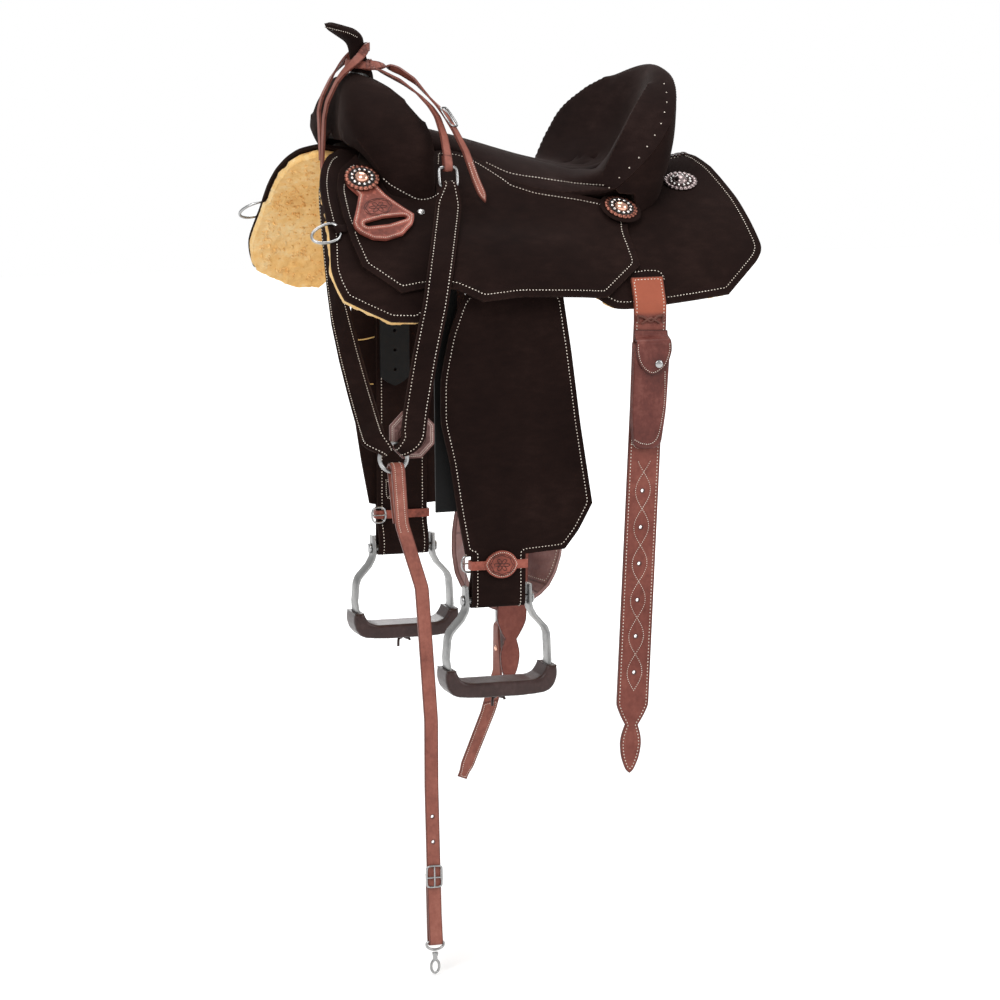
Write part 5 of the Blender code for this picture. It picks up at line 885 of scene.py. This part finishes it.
def seatDish():
    xs = np.arange(*dishForm["x"], dishForm["step"])
    ys = np.arange(dishForm["y"][0], dishForm["y"][1] + 1e-6, dishForm["step"])
    heights = np.zeros((len(xs), len(ys)))
    slot = np.zeros((len(xs), len(ys)), bool)
    for i, x in enumerate(xs):
        for j, y in enumerate(ys):
            hit, look, index, far = seatTree.ray_cast(Vector((x, y, 0.6)), Vector((0, 0, -1)))
            slot[i, j] = hit is None or look.z < dishForm["steep"]
            heights[i, j] = dishForm["start"] if slot[i, j] else hit.z
    wide = slot.copy()
    wide[1:-1, 1:-1] |= slot[:-2, 1:-1] | slot[2:, 1:-1] | slot[1:-1, :-2] | slot[1:-1, 2:]
    for turn in range(dishForm["rounds"]):
        around = heights[:-2, 1:-1] + heights[2:, 1:-1] + heights[1:-1, :-2] + heights[1:-1, 2:]
        mean = heights.copy()
        mean[1:-1, 1:-1] = around / 4
        heights[wide] = mean[wide]
    sunk = heights - np.where(wide, 0.0, dishForm["under"] * mm)
    verts = [(x, y, sunk[i, j]) for i, x in enumerate(xs) for j, y in enumerate(ys)]
    count = len(ys)
    faces = []
    for i in range(len(xs) - 1):
        for j in range(count - 1):
            if wide[max(i - 1, 0):i + 3, max(j - 1, 0):j + 3].any():
                a = i * count + j
                faces.append((a, a + count, a + count + 1, a + 1))
    grid = bpy.data.meshes.new("grid")
    grid.from_pydata(verts, [], faces)
    bm = bmesh.new()
    bm.from_mesh(grid)
    bmesh.ops.delete(bm, geom=[v for v in bm.verts if not v.link_faces], context="VERTS")
    bmesh.ops.solidify(bm, geom=bm.faces[:], thickness=dishForm["thick"] * mm)
    bmesh.ops.recalc_face_normals(bm, faces=bm.faces)
    put(addPiece("seat_dish", meshOf(bm, "seat_dish"), "seatSuede", rim=0.02), None, "saddle", "suede")
    print("seat dish", int(slot.sum()), len(faces))


seatDish()

# dark packing that closes the room under the seat's corners and the cantle
fillers = {"cantle_packing": ((0.165, 0.0, 0.088), (0.030, 0.078, 0.026)),
           "seat_packing_near": ((0.093, -0.124, 0.089), (0.046, 0.023, 0.011)),
           "seat_packing_far": ((0.093, 0.124, 0.089), (0.046, 0.023, 0.011))}
for name, (at, radii) in fillers.items():
    bm = bmesh.new()
    bmesh.ops.create_uvsphere(bm, u_segments=40, v_segments=20, radius=1.0,
                              matrix=Matrix.Translation(at) @ Matrix.Diagonal((*radii, 1.0)))
    put(addPiece(name, meshOf(bm, name), "suede", rim=0.02), None, "saddle", "suede")


# fleece: a lumpy pile with tufts over the horse's side and round the rim
fleeceForm = {"cell": 6.0, "rounds": 20, "lump": 2.2, "fuzz": 1.0, "density": 15000.0, "size": 3.6, "roll": 12.0,
              "draw": 0.75, "drawFront": 0.2, "bare": 9.0, "front": -0.11, "top": 0.06, "seed": 7}


def addFleece(side, name):
    skin = Skin(name, fleeceForm["cell"], fleeceForm["rounds"], (0, side * 0.8, 0.6))
    top = np.zeros(len(skin.points), bool)
    top[skin.tris[skin.top].ravel()] = True
    roll = fleeceForm["roll"] * mm
    inner = np.where(skin.rim > roll)[0]
    tree = kdtree.KDTree(len(inner))
    for i in inner:
        tree.insert(skin.points[i], int(i))
    tree.balance()
    # draws the rim in under the skirt, less at the front where the wool shows
    for i in np.where(skin.rim <= roll)[0]:
        near, k, far = tree.find(skin.points[i])
        x, y, z = skin.points[i]
        behind = x > fleeceForm["front"] or z > fleeceForm["top"]
        share = 1 - skin.rim[i] / roll
        skin.points[i] += (np.array(near) - skin.points[i]) * share * fleeceForm["draw" if behind else "drawFront"]
    for i, p in enumerate(skin.points):
        if not top[i]:
            lump = noise.noise(Vector(p) * 90.0) * fleeceForm["lump"]
            lump += noise.noise(Vector(p) * 330.0) * fleeceForm["fuzz"]
            skin.points[i] = p + skin.vertexNormal[i] * (lump * mm)
    put(skin.piece(name + "_pile", "wool"), name, None, "fleece")
    under = bpy.data.meshes.new(name + "_under")
    woolly = skin.tris[~skin.top]
    woolly = woolly[skin.rim[woolly].min(axis=1) > fleeceForm["bare"] * mm]
    under.from_pydata(skin.points.tolist(), [], woolly.tolist())
    inputs = {"Density": fleeceForm["density"], "Size": fleeceForm["size"] * mm,
              "Seed": fleeceForm["seed"] + side, "Wool": finishes["wool"]}
    locks = grow(name + "_tufts", under, tufts, inputs)
    put(locks, name, nodes[name]["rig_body"], "fleece")
    print("fleece", name, len(locks.data.polygons))


addFleece(-1, "fleece_near")
addFleece(1, "fleece_far")


# metal: round wires and the stirrups
wires = ("collar_dee_near", "collar_dee_far", "arm_ring_near", "arm_ring_far", "centre_ring", "wither_buckle",
         "tie_down_buckle", "snap_swivel", "snap_hook", "cinch_buckle", "cinch_dee")
for name in wires:
    bm = weld(name)
    bmesh.ops.join_triangles(bm, faces=bm.faces, angle_face_threshold=0.6, angle_shape_threshold=0.8)
    obj = addPiece(name + "_metal", meshOf(bm, name + "_metal"), "steel")
    smooth = obj.modifiers.new("round", "SUBSURF")
    smooth.levels = 2
    smooth.render_levels = 2
    put(obj, name, None, "steel")

edgeForm = {"width": 0.6, "segments": 2, "turn": 32, "sharp": 40}
for name, paint, slot in (("stirrup_near", "alloy", "stirrup_alloy"),
                          ("stirrup_far", "alloy", "stirrup_alloy"),
                          ("stirrup_bolt_near", "steel", "steel"), ("stirrup_bolt_far", "steel", "steel")):
    bm = weld(name)
    bmesh.ops.dissolve_limit(bm, angle_limit=0.01, verts=bm.verts, edges=bm.edges)
    obj = addPiece(name + "_metal", meshOf(bm, name + "_metal"), paint)
    obj.data.set_sharp_from_angle(angle=math.radians(edgeForm["sharp"]))
    edge = obj.modifiers.new("edge", "BEVEL")
    edge.width = edgeForm["width"] * mm
    edge.segments = edgeForm["segments"]
    edge.limit_method = "ANGLE"
    edge.angle_limit = math.radians(edgeForm["turn"])
    edge.harden_normals = False
    put(obj, name, None, slot)
print("metal")


def turned(name, body, at, normal, profile, paint, slot, steps=32):
    # a turned stud from (radius, height) pairs, stood on the leather
    bm = bmesh.new()
    rows = []
    for r, h in profile:
        angles = [2 * math.pi * k / steps for k in range(steps)]
        rows.append([bm.verts.new((r * mm * math.cos(a), r * mm * math.sin(a), h * mm)) for a in angles])
    for a, b in zip(rows, rows[1:]):
        for k in range(steps):
            bm.faces.new((a[k], a[(k + 1) % steps], b[(k + 1) % steps], b[k]))
    bm.faces.new(rows[-1])
    bm.faces.new(rows[0][::-1])
    mesh = meshOf(bm, name)
    turn = Vector((0, 0, 1)).rotation_difference(Vector(normal)).to_matrix().to_4x4()
    mesh.transform(Matrix.Translation(Vector(at)) @ turn)
    return put(addPiece(name, mesh, paint, high=0.9, rim=0.004), None, body, slot)


# conchos: scalloped rosette, a ring of beads and a dome
conchoForm = {
    "lobes": 20, "steps": 160, "scallop": 1.5, "ripple": 0.9, "top": 9.4,
    "beads": 12, "bead": 2.4, "beadsAt": (13.9, 2.6),
    # radius and height, and how bright the metal is there
    "profile": [(23.4, 0.0, 0.1), (23.6, 1.2, 0.5), (22.4, 2.4, 0.9), (20.4, 2.8, 0.9), (18.2, 2.2, 0.5),
                (17.2, 1.3, 0.0),
                (10.8, 1.1, 0.0), (10.2, 1.6, 0.2), (9.9, 2.6, 0.4), (9.4, 4.6, 0.85), (8.2, 6.6, 0.85), (6.2,
                        8.0, 0.85),
                (4.0, 8.9, 0.85), (2.0, 9.3, 0.85)],
    "washer": [(29.0, 0.0), (30.0, 1.0), (29.4, 2.0), (24.0, 2.7), (4.0, 2.7)], "washerUnder": 2.6}


def concho(name, rosette, dome):
    points, tris = surfaceOf(name)
    middle = points.mean(0)
    normal = np.linalg.svd(points - middle)[2][2]
    side = -1.0 if name.endswith("near") else 1.0
    normal *= np.sign(normal @ np.array((0.0, side, 0.6)))
    low = ((points - middle) @ normal).min()
    middle = middle - normal * ((middle - points.mean(0)) @ normal) + normal * low
    turn = Vector((0, 0, 1)).rotation_difference(Vector(normal)).to_matrix()
    steps, profile = conchoForm["steps"], conchoForm["profile"]
    verts, faces, high, kinds = [], [], [], []
    for j, (r, h, bright) in enumerate(profile):
        for k in range(steps):
            a = 2 * math.pi * k / steps
            lobe = abs(math.cos(conchoForm["lobes"] * a / 2)) ** 0.6
            wide = r + (conchoForm["scallop"] * (lobe - 0.5) if j < 3 else 0.0)
            lift = h + (conchoForm["ripple"] * (lobe - 0.5) if 1 <= j <= 4 else 0.0)
            verts.append((wide * math.cos(a) * mm, wide * math.sin(a) * mm, lift * mm))
            high.append(bright * (0.25 + 0.75 * lobe if j < 5 else 1.0))
    verts.append((0.0, 0.0, conchoForm["top"] * mm))
    high.append(0.9)
    for j in range(len(profile) - 1):
        for k in range(steps):
            n = (k + 1) % steps
            faces.append((j * steps + k, j * steps + n, (j + 1) * steps + n, (j + 1) * steps + k))
            kinds.append(1 if j >= 7 else 2 if j >= 4 else 0)
    last = (len(profile) - 1) * steps
    for k in range(steps):
        faces.append((last + k, last + (k + 1) % steps, len(verts) - 1))
        kinds.append(1)
    faces.append(tuple(range(steps))[::-1])
    kinds.append(0)
    mesh = bpy.data.meshes.new(name + "_ornament")
    mesh.from_pydata(verts, [], faces)
    mesh.attributes.new("high", "FLOAT", "POINT").data.foreach_set("value", high)
    mesh.transform(Matrix.Translation(Vector(middle)) @ turn.to_4x4())
    obj = addPiece(name + "_ornament", mesh, rosette, dome, "dark" if rosette == "petal" else "silver")
    mesh.polygons.foreach_set("material_index", kinds)
    put(obj, name, None, "concho_copper" if rosette == "petal" else "concho_silver")
    if name.startswith("seat"):
        # the suede washer that closes the corner under it
        under = Vector(middle) - Vector(normal) * (conchoForm["washerUnder"] * mm)
        turned(name + "_washer", "saddle", under, normal, conchoForm["washer"], "suede", "suede", 48)
    ring = bpy.data.meshes.new(name + "_ring")
    away, lift = conchoForm["beadsAt"]
    angles = [2 * math.pi * k / conchoForm["beads"] for k in range(conchoForm["beads"])]
    ring.from_pydata([(away * math.cos(a) * mm, away * math.sin(a) * mm, lift * mm) for a in angles], [], [])
    ring.transform(Matrix.Translation(Vector(middle)) @ turn.to_4x4())
    row = grow(name + "_beads", ring, beads, {"Radius": conchoForm["bead"] * mm, "Metal": finishes["bead"]})
    put(row, name, nodes[name]["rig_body"], "concho_silver")


for spot, rosette, dome in (("front", "petal", "copper"), ("seat", "petal", "copper"),
                            ("rear", "silver", "silver")):
    for side in ("near", "far"):
        concho(spot + "_concho_" + side, rosette, dome)
print("conchos")


# small work: rows drawn on the leather, dots, rivets, buckles, laces
def smoothPath(points, step):
    # a soft line through a few points, as a list of points about a step apart
    points = [Vector(p) for p in points]
    ends = [points[0] * 2 - points[1]] + points + [points[-1] * 2 - points[-2]]
    out = []
    for a, b, c, d in zip(ends, ends[1:], ends[2:], ends[3:]):
        count = max(1, int((c - b).length / step))
        for k in range(count):
            t = k / count
            out.append(0.5 * ((2 * b) + (c - a) * t + (2 * a - 5 * b + 4 * c - d) * t * t
                              + (3 * b - a - 3 * c + d) * t ** 3))
    return out + [points[-1]]


def pictureRow(pixels, kind, *names, twin=True):
    # a row of stitches through points of the picture, on the leather that they show, and on its far twin
    spots = []
    for p in smoothPath([(x, y, 0) for x, y in pixels], 3.0 if kind != "carved" else 0.8):
        hit, normal = landOn(p.x, p.y, *names)
        if "seat_cover" in names:
            # the padding stands higher than the CAD's cover
            start, way = photoRay(p.x, p.y)
            padded, look, index, far = seatTree.ray_cast(start, way)
            if padded is not None and far < (hit - start).length + 0.006:
                hit, normal = padded, look if look.dot(way) < 0 else -look
        spots.append(hit + normal * (0.2 * mm))
    body = nodes[names[0]]["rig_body"]
    addRun(body, kind, [tuple(p) for p in spots])
    if twin:
        addRun(body.replace("near", "far"), kind, [(p.x, -p.y, p.z) for p in spots])


# scroll of two crossing rows round the billet's holes
scroll = {"first": -0.5654, "pitch": 0.0508, "holes": 6, "swing": 0.0108}


def onFace(x, z, name):
    hit, normal, index, far = allSkins.ray_cast(Vector((x, -0.40, z)), Vector((0, 1, 0)))
    while hit is not None and owner[index] != name:
        hit, normal, index, far = allSkins.ray_cast(hit + Vector((0, 0.0002, 0)), Vector((0, 1, 0)))
    return hit


for way in (-1, 1):
    line = []
    for k in range(scroll["holes"] * 14 + 5):
        t = k / 14
        z = scroll["first"] - scroll["pitch"] / 2 + scroll["pitch"] * t
        hit = onFace(sheathMiddle(z) + way * scroll["swing"] * math.sin(math.pi * t), z, "flank_billet_near")
        if hit is not None:
            line.append((hit.x, hit.y - 0.2 * mm, hit.z))
    addRun("flank_billet_near", "small", line)


def tube(name, body, points, radius, paint, slot, closed=False):
    # a round lace or wire along points
    curve = bpy.data.curves.new(name, "CURVE")
    curve.dimensions = "3D"
    curve.bevel_depth = radius * mm
    curve.bevel_resolution = 3
    curve.use_fill_caps = not closed
    line = curve.splines.new("POLY")
    line.points.add(len(points) - 1)
    line.use_cyclic_u = closed
    for knot, p in zip(line.points, points):
        knot.co = (*p, 1.0)
    obj = bpy.data.objects.new(name, curve)
    scene.collection.objects.link(obj)
    bpy.context.view_layer.update()
    mesh = bpy.data.meshes.new_from_object(obj.evaluated_get(bpy.context.evaluated_depsgraph_get()))
    bpy.data.objects.remove(obj)
    mesh.materials.clear()
    return put(addPiece(name, mesh, paint, rim=0.004), None, body, slot)


studs = {
    "keeper_screw": dict(seen=(421, 212, "jockey_near", "latigo_keeper"), body="saddle", paint="bead",
                         slot="steel",
                         profile=[(5.6, -0.4), (5.6, 0.8), (5.0, 1.8), (3.8, 2.7), (2.2, 3.2), (0.6, 3.4)]),
    "flap_snap": dict(seen=(659, 364, "sheath_flap"), body="sheath_flap", paint="steel", slot="steel",
                      profile=[(5.6, -0.3), (5.6, 0.6), (5.2, 1.4), (4.4, 1.8), (0.6, 2.0)]),
    "connector_rivet": dict(seen=(496, 648, "connector_strap"), body="connector", paint="copper",
                            slot="concho_copper",
                            profile=[(4.2, -0.3), (4.2, 0.6), (3.6, 1.3), (2.0, 1.8), (0.5, 2.0)]),
}
for name, stud in studs.items():
    at, look = landOn(*stud["seen"])
    turned(name, stud["body"], at, look, stud["profile"], stud["paint"], stud["slot"])

# rows of stitches at points of the picture: kind, whether the far side has its twin, leather under it, points
drawnRows = [
    # the fork's lower edge and the front of the horn
    ("pale", True, ("fork_cover", "jockey_near"),
     [(384, 179), (391, 185), (405, 193), (419, 199.5), (431, 198), (438, 194)]),
    ("small", True, ("horn_wrap",), [(328, 27.5), (337, 30), (347, 32.5), (357, 37)]),
    # dots along the cantle's seam, and the double row that joins seat and jockey
    ("dots", True, ("seat_cover", "cantle_cover"),
     [(664, 84), (667, 98), (664, 114), (659, 128), (650, 142), (641, 155), (630, 167), (619, 178), (609, 188)]),
    ("pale", True, ("jockey_near", "seat_cover"), [(487, 163), (510, 173), (540, 178), (575, 183), (603, 185)]),
    # round the billet's slot and along the sheath
    ("pale", True, ("skirt_near",), [(632, 272.5), (648, 270.5), (660, 272), (664, 279)]),
    ("small", False, ("hoof_pick_sheath",),
     [(665, 372), (664.5, 400), (661, 424), (657, 438), (650, 444), (640, 443), (635, 440)]),
    # yellow ties
    ("tie", False, ("fender_far",), [(358, 340), (366, 339), (374, 337)]),
    ("tie", False, ("fender_far",), [(368, 384), (370, 384), (373, 384)]),
    # a box with a cross, where each fender's end is sewn
    ("small", True, ("fender_far",), [(386, 480), (402, 477), (404, 494), (388, 498), (386, 480)]),
    ("small", True, ("fender_far",), [(386, 480), (404, 494)]),
    ("small", True, ("fender_far",), [(402, 477), (388, 498)]),
]
for kind, twin, names, pixels in drawnRows:
    pictureRow(pixels, kind, *names, twin=twin)


# carved ornament: a ring with a rosette in it
def rosette(px, py, wide, high, lean, twin, *names):
    def at(a, r):
        x, y = wide * r * math.cos(a), high * r * math.sin(a)
        return px + x * math.cos(lean) - y * math.sin(lean), py + x * math.sin(lean) + y * math.cos(lean)
    turn = [2 * math.pi * k / 24 for k in range(25)]
    fine = [2 * math.pi * k / 60 for k in range(61)]
    for row in ([at(a, 1.0) for a in turn], [at(a, 0.86 + 0.05 * math.cos(8 * a)) for a in turn],
                [at(a, 0.20 + 0.42 * abs(math.cos(3 * a))) for a in fine], [at(a, 0.16) for a in turn]):
        pictureRow(row, "carved", *names, twin=twin)


rosette(378, 207, 14.0, 8.5, -0.10, False, "latigo_keeper")
rosette(502, 565, 12.5, 10.5, 0.0, True, "hobble_near")
rosette(412, 437, 14.0, 13.0, 0.0, False, "tooled_pad")

# clips that hold the collar dees to the skirts
clipForm = {"at": (-0.288756, 0.188524, 0.052348), "bar": (0.225106, 0.678445, -0.699314), "long": 26.0,
            "back": 7.0, "wide": 12.0, "hump": 3.1, "humpWide": 4.2, "sink": 1.3, "thick": 1.8, "cells": (18, 8)}


def deeClip(side, label):
    skin = skins["skirt_" + label]
    at = Vector(clipForm["at"])
    bar = Vector(clipForm["bar"]).normalized()
    at.y, bar.y = at.y * side, bar.y * side
    wrong = skin.vertexNormal @ np.array((0, side * 0.8, 0.6)) < 0.3
    away = np.linalg.norm(skin.points - np.array(at + Vector((0.010, 0, 0))), axis=1)
    look = Vector(skin.vertexNormal[int(np.argmin(away + wrong))])
    across = bar.cross(look).normalized()
    if across.x < 0:
        across = -across
    rows, columns = clipForm["cells"]
    verts, faces = [], []
    for i in range(rows + 1):
        v = -clipForm["back"] + clipForm["long"] * i / rows
        rise = clipForm["hump"] * math.exp(-(v / clipForm["humpWide"]) ** 2) - clipForm["sink"]
        for k in range(columns + 1):
            u = clipForm["wide"] * (k / columns - 0.5) * (1 - 0.35 * max(0.0, (v - 10.0) / 9.0) ** 2)
            verts.append(tuple(at + bar * (u * mm) + across * (v * mm) + look * ((rise - 0.02 * u * u) * mm)))
    for i in range(rows):
        for k in range(columns):
            a = i * (columns + 1) + k
            faces.append((a, a + 1, a + columns + 2, a + columns + 1))
    mesh = bpy.data.meshes.new("dee_clip_" + label)
    mesh.from_pydata(verts, [], faces)
    clip = addPiece("dee_clip_" + label, mesh, "suede", rim=0.004)
    if sum(p.normal.dot(look) for p in mesh.polygons) < 0:
        mesh.flip_normals()
    thick = clip.modifiers.new("thickness", "SOLIDIFY")
    thick.thickness = clipForm["thick"] * mm
    thick.offset = 1.0
    put(clip, None, "saddle", "suede")


deeClip(-1, "near")
deeClip(1, "far")

# lace tied through the billet, under the skirt
bowAt = landOn(650, 320, "flank_billet_near")[0]
bowShapes = {
    "a": [(-17, 6, 1.4), (-9, 4, 1.8), (0, -2, 2.6), (9, 4, 1.8), (17, 6, 1.4)],
    "b": [(-13, -4.5, 1.6), (-5, 0.5, 2.2), (0, 2.5, 3.4), (5, 0.5, 2.2), (13, -4.5, 1.6)],
    "c": [(-18, 8, 1.2), (-18.5, 2, 2.0), (-17, -3, 1.2)],
    "d": [(18, 8, 1.2), (18.5, 2, 2.0), (17, -3, 1.2)],
}
for label, shape in bowShapes.items():
    path = [bowAt + Vector((x * mm, -n * mm, z * mm)) for x, z, n in shape]
    tube("billet_lace_" + label, "flank_billet_near", [tuple(p) for p in smoothPath(path, 0.0015)], 1.7,
         "lace", "tan_leather")

# thong ends under the treads
for side, label, body in ((-1, "near", "stirrup_near"), (1, "far", "stirrup_far")):
    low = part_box("tread_wrap_" + label)[0]
    start = Vector((-0.078, side * 0.2266, low.z + 0.001))
    for k, way in enumerate((-1, 1)):
        bends = ((0, 0, 0), (way * 0.003, -0.003, -0.004), (way * 0.008, -0.006, -0.005),
                 (way * 0.009, -0.007, -0.012 + way * 0.004))
        path = [start + Vector(bend) for bend in bends]
        tube("tread_thong_%s_%d" % (label, k), body, [tuple(p) for p in smoothPath(path, 0.002)], 2.0,
             "tread", "tread_leather")


def ring(at, u, v, halfU, halfV, power=4.0, count=28):
    out = []
    for k in range(count):
        c, s = math.cos(2 * math.pi * k / count), math.sin(2 * math.pi * k / count)
        c, s = [math.copysign(abs(t) ** (2 / power), t) for t in (c, s)]
        out.append(tuple(at + u * (c * halfU * mm) + v * (s * halfV * mm)))
    return out


# the hobbles' buckles, on the side that faces the horse
for side, label in ((-1, "near"), (1, "far")):
    low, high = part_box("hobble_" + label)
    face = (high.y if side < 0 else low.y) - side * 0.0016
    at = Vector((-0.116, face, -0.4100))
    frameLine = ring(at, Vector((1, 0, 0)), Vector((0, 0, 1)), 10.5, 11.5, 2.6)
    tube("hobble_buckle_" + label, "fender_" + label, frameLine, 1.5, "steel", "steel", True)
    bends = ((-10.5, 0.6), (-4, 2.0), (4, 2.0), (11.0, 1.2))
    tongue = [tuple(at + Vector((x * mm, -side * n * mm, 0))) for x, n in bends]
    tube("hobble_tongue_" + label, "fender_" + label, tongue, 1.0, "steel", "steel")

# tongues of the strap buckles
for name, body in (("tie_down_buckle", "tie_down"), ("cinch_buckle", "flank_cinch")):
    low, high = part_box(name)
    at = (low + high) / 2
    half = (high.z - low.z) / 2 - 0.0016
    out = -0.0012 if at.y < 0 else 0.0012
    tongue = [(at.x, at.y + out * n, at.z + half * z) for n, z in ((0, 1), (1, 0.4), (1.6, -0.5), (1.2, -1))]
    tube(name + "_tongue", body, tongue, 1.1, "steel", "steel")
    bar = [(x, at.y, at.z - half * 0.1) for x in (low.x + 0.0016, high.x - 0.0016)]
    tube(name + "_bar", body, bar, 1.3, "steel", "steel")
low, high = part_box("wither_buckle")
at = (low + high) / 2
bends = ((-0.0075, -0.0055, 0.0105), (0.0, -0.0028, 0.0016), (0.0085, 0.0050, -0.0110))
tube("wither_buckle_tongue", "saddle", [tuple(at + Vector(bend)) for bend in bends], 1.0, "steel", "steel")
print("small work")

# nodes that stay as they are, under the leather or too small to show
plainNodes = {"tree_bar_near": "wood", "tree_bar_far": "wood", "fork_core": "wood", "cantle_core": "wood",
              "ground_seat": "wood", "horn_core": "iron", "skirt_lacing": "lace"}
for name, paint in plainNodes.items():
    nodes[name].data.materials.clear()
    nodes[name].data.materials.append(finishes[paint])

# thread: every row of stitches that was collected, one piece for each body
threadForm = {
    "pale": dict(pitch=4.6, length=2.3, width=1.5, paint="thread"),
    "small": dict(pitch=3.0, length=1.7, width=1.1, paint="thread"),
    "dots": dict(pitch=19.0, length=2.2, width=2.2, paint="thread"),
    "carved": dict(pitch=1.0, length=1.4, width=0.9, paint="carved"),
    "tie": dict(pitch=1.2, length=2.0, width=2.0, paint="tie"),
    "lace": dict(pitch=4.6, length=6.0, width=2.0, paint="lace"),
}
for (body, kind), runs in sorted(threadRuns.items()):
    verts, edges = [], []
    for line, closed in runs:
        start = len(verts)
        verts += [tuple(p) for p in line]
        edges += [(start + i, start + i + 1) for i in range(len(line) - 1)]
        if closed:
            edges.append((start + len(line) - 1, start))
    mesh = bpy.data.meshes.new("run")
    mesh.from_pydata(verts, edges, [])
    form = threadForm[kind]
    sizes = {"Pitch": form["pitch"] * mm, "Length": form["length"] * mm, "Width": form["width"] * mm}
    piece = grow("stitching_%s_%s" % (kind, body), mesh, stitches,
                 dict(sizes, Thread=finishes[form["paint"]]))
    put(piece, None, body, "suede" if body in ("saddle", "fender_near", "fender_far") else "tan_leather")
print("stitching", len(threadRuns))


# studio: pale floor, white where the camera looks past the saddle, soft lamps
def studio():
    floorForm = {"half": 9.0, "under": 0.002, "grey": (0.80, 0.83)}
    low = cadBox[0][2] - floorForm["under"]
    mesh = bpy.data.meshes.new("floor")
    corners = ((-1, -1), (1, -1), (1, 1), (-1, 1))
    mesh.from_pydata([(x * floorForm["half"], y * floorForm["half"], low) for x, y in corners], [],
                     [(0, 1, 2, 3)])
    floor = bpy.data.objects.new("floor", mesh)
    scene.collection.objects.link(floor)
    p = Paint("paleFloor")
    grain = p.noise(30, 2, 0.5)
    dim, pale = [(grey, grey, grey) for grey in floorForm["grey"]]
    p.finish(Base_Color=p.ramp(grain, [(0.3, dim), (0.7, pale)]), Roughness=0.9, Specular_IOR_Level=0.1)
    rays = p.node("ShaderNodeLightPath")
    seen = rays.out("Is Camera Ray") + rays.out("Is Glossy Ray") + rays.out("Is Transmission Ray")
    glow = p.node("ShaderNodeEmission", {}, {"Color": (1.0, 1.0, 1.0, 1.0), "Strength": 1.0})
    both = p.node("ShaderNodeAddShader", {}, {0: p.shader.out("BSDF"), 1: glow.out("Emission")})
    far = p.node("ShaderNodeVectorMath", {"operation": "LENGTH"}, {0: p.place}).out("Value")
    share = seen * (p.ease(far, 1.0, 5.0) * 0.60 + 0.28)
    lit = p.node("ShaderNodeMixShader", {}, {0: share, 1: p.shader.out("BSDF"), 2: both.out(0)})
    p.tree.links.new(lit.out(0).socket, p.output.node.inputs["Surface"])
    mesh.materials.append(p.material)
    world = bpy.data.worlds.new("studio")
    scene.world = world
    world.use_nodes = True
    ground = world.node_tree.nodes["Background"]
    ground.inputs["Color"].default_value = (1.0, 1.0, 1.0, 1.0)
    ground.inputs["Strength"].default_value = 0.55
    white = world.node_tree.nodes.new("ShaderNodeBackground")
    white.inputs["Color"].default_value = (1.0, 1.0, 1.0, 1.0)
    rays = world.node_tree.nodes.new("ShaderNodeLightPath")
    mixed = world.node_tree.nodes.new("ShaderNodeMixShader")
    links = world.node_tree.links
    links.new(rays.outputs["Is Camera Ray"], mixed.inputs[0])
    links.new(ground.outputs[0], mixed.inputs[1])
    links.new(white.outputs[0], mixed.inputs[2])
    links.new(mixed.outputs[0], world.node_tree.nodes["World Output"].inputs["Surface"])
    lamps = {
        "key": ((-2.2, -3.0, 2.6), 2.2, 95.0),
        "side": ((2.8, -2.4, 1.2), 2.0, 46.0),
        "top": ((0.2, 0.6, 3.2), 2.4, 60.0),
        "back": ((0.4, 3.4, 1.2), 2.4, 40.0),
    }
    for name, (place, size, power) in lamps.items():
        lamp = bpy.data.lights.new(name, "AREA")
        lamp.shape = "DISK"
        lamp.size = size
        lamp.energy = power
        obj = bpy.data.objects.new(name, lamp)
        scene.collection.objects.link(obj)
        obj.location = place
        obj.rotation_euler = (Vector((0, 0, -0.3)) - Vector(place)).to_track_quat("-Z", "Y").to_euler()


studio()
scene.view_settings.view_transform = "Standard"
print("studio")
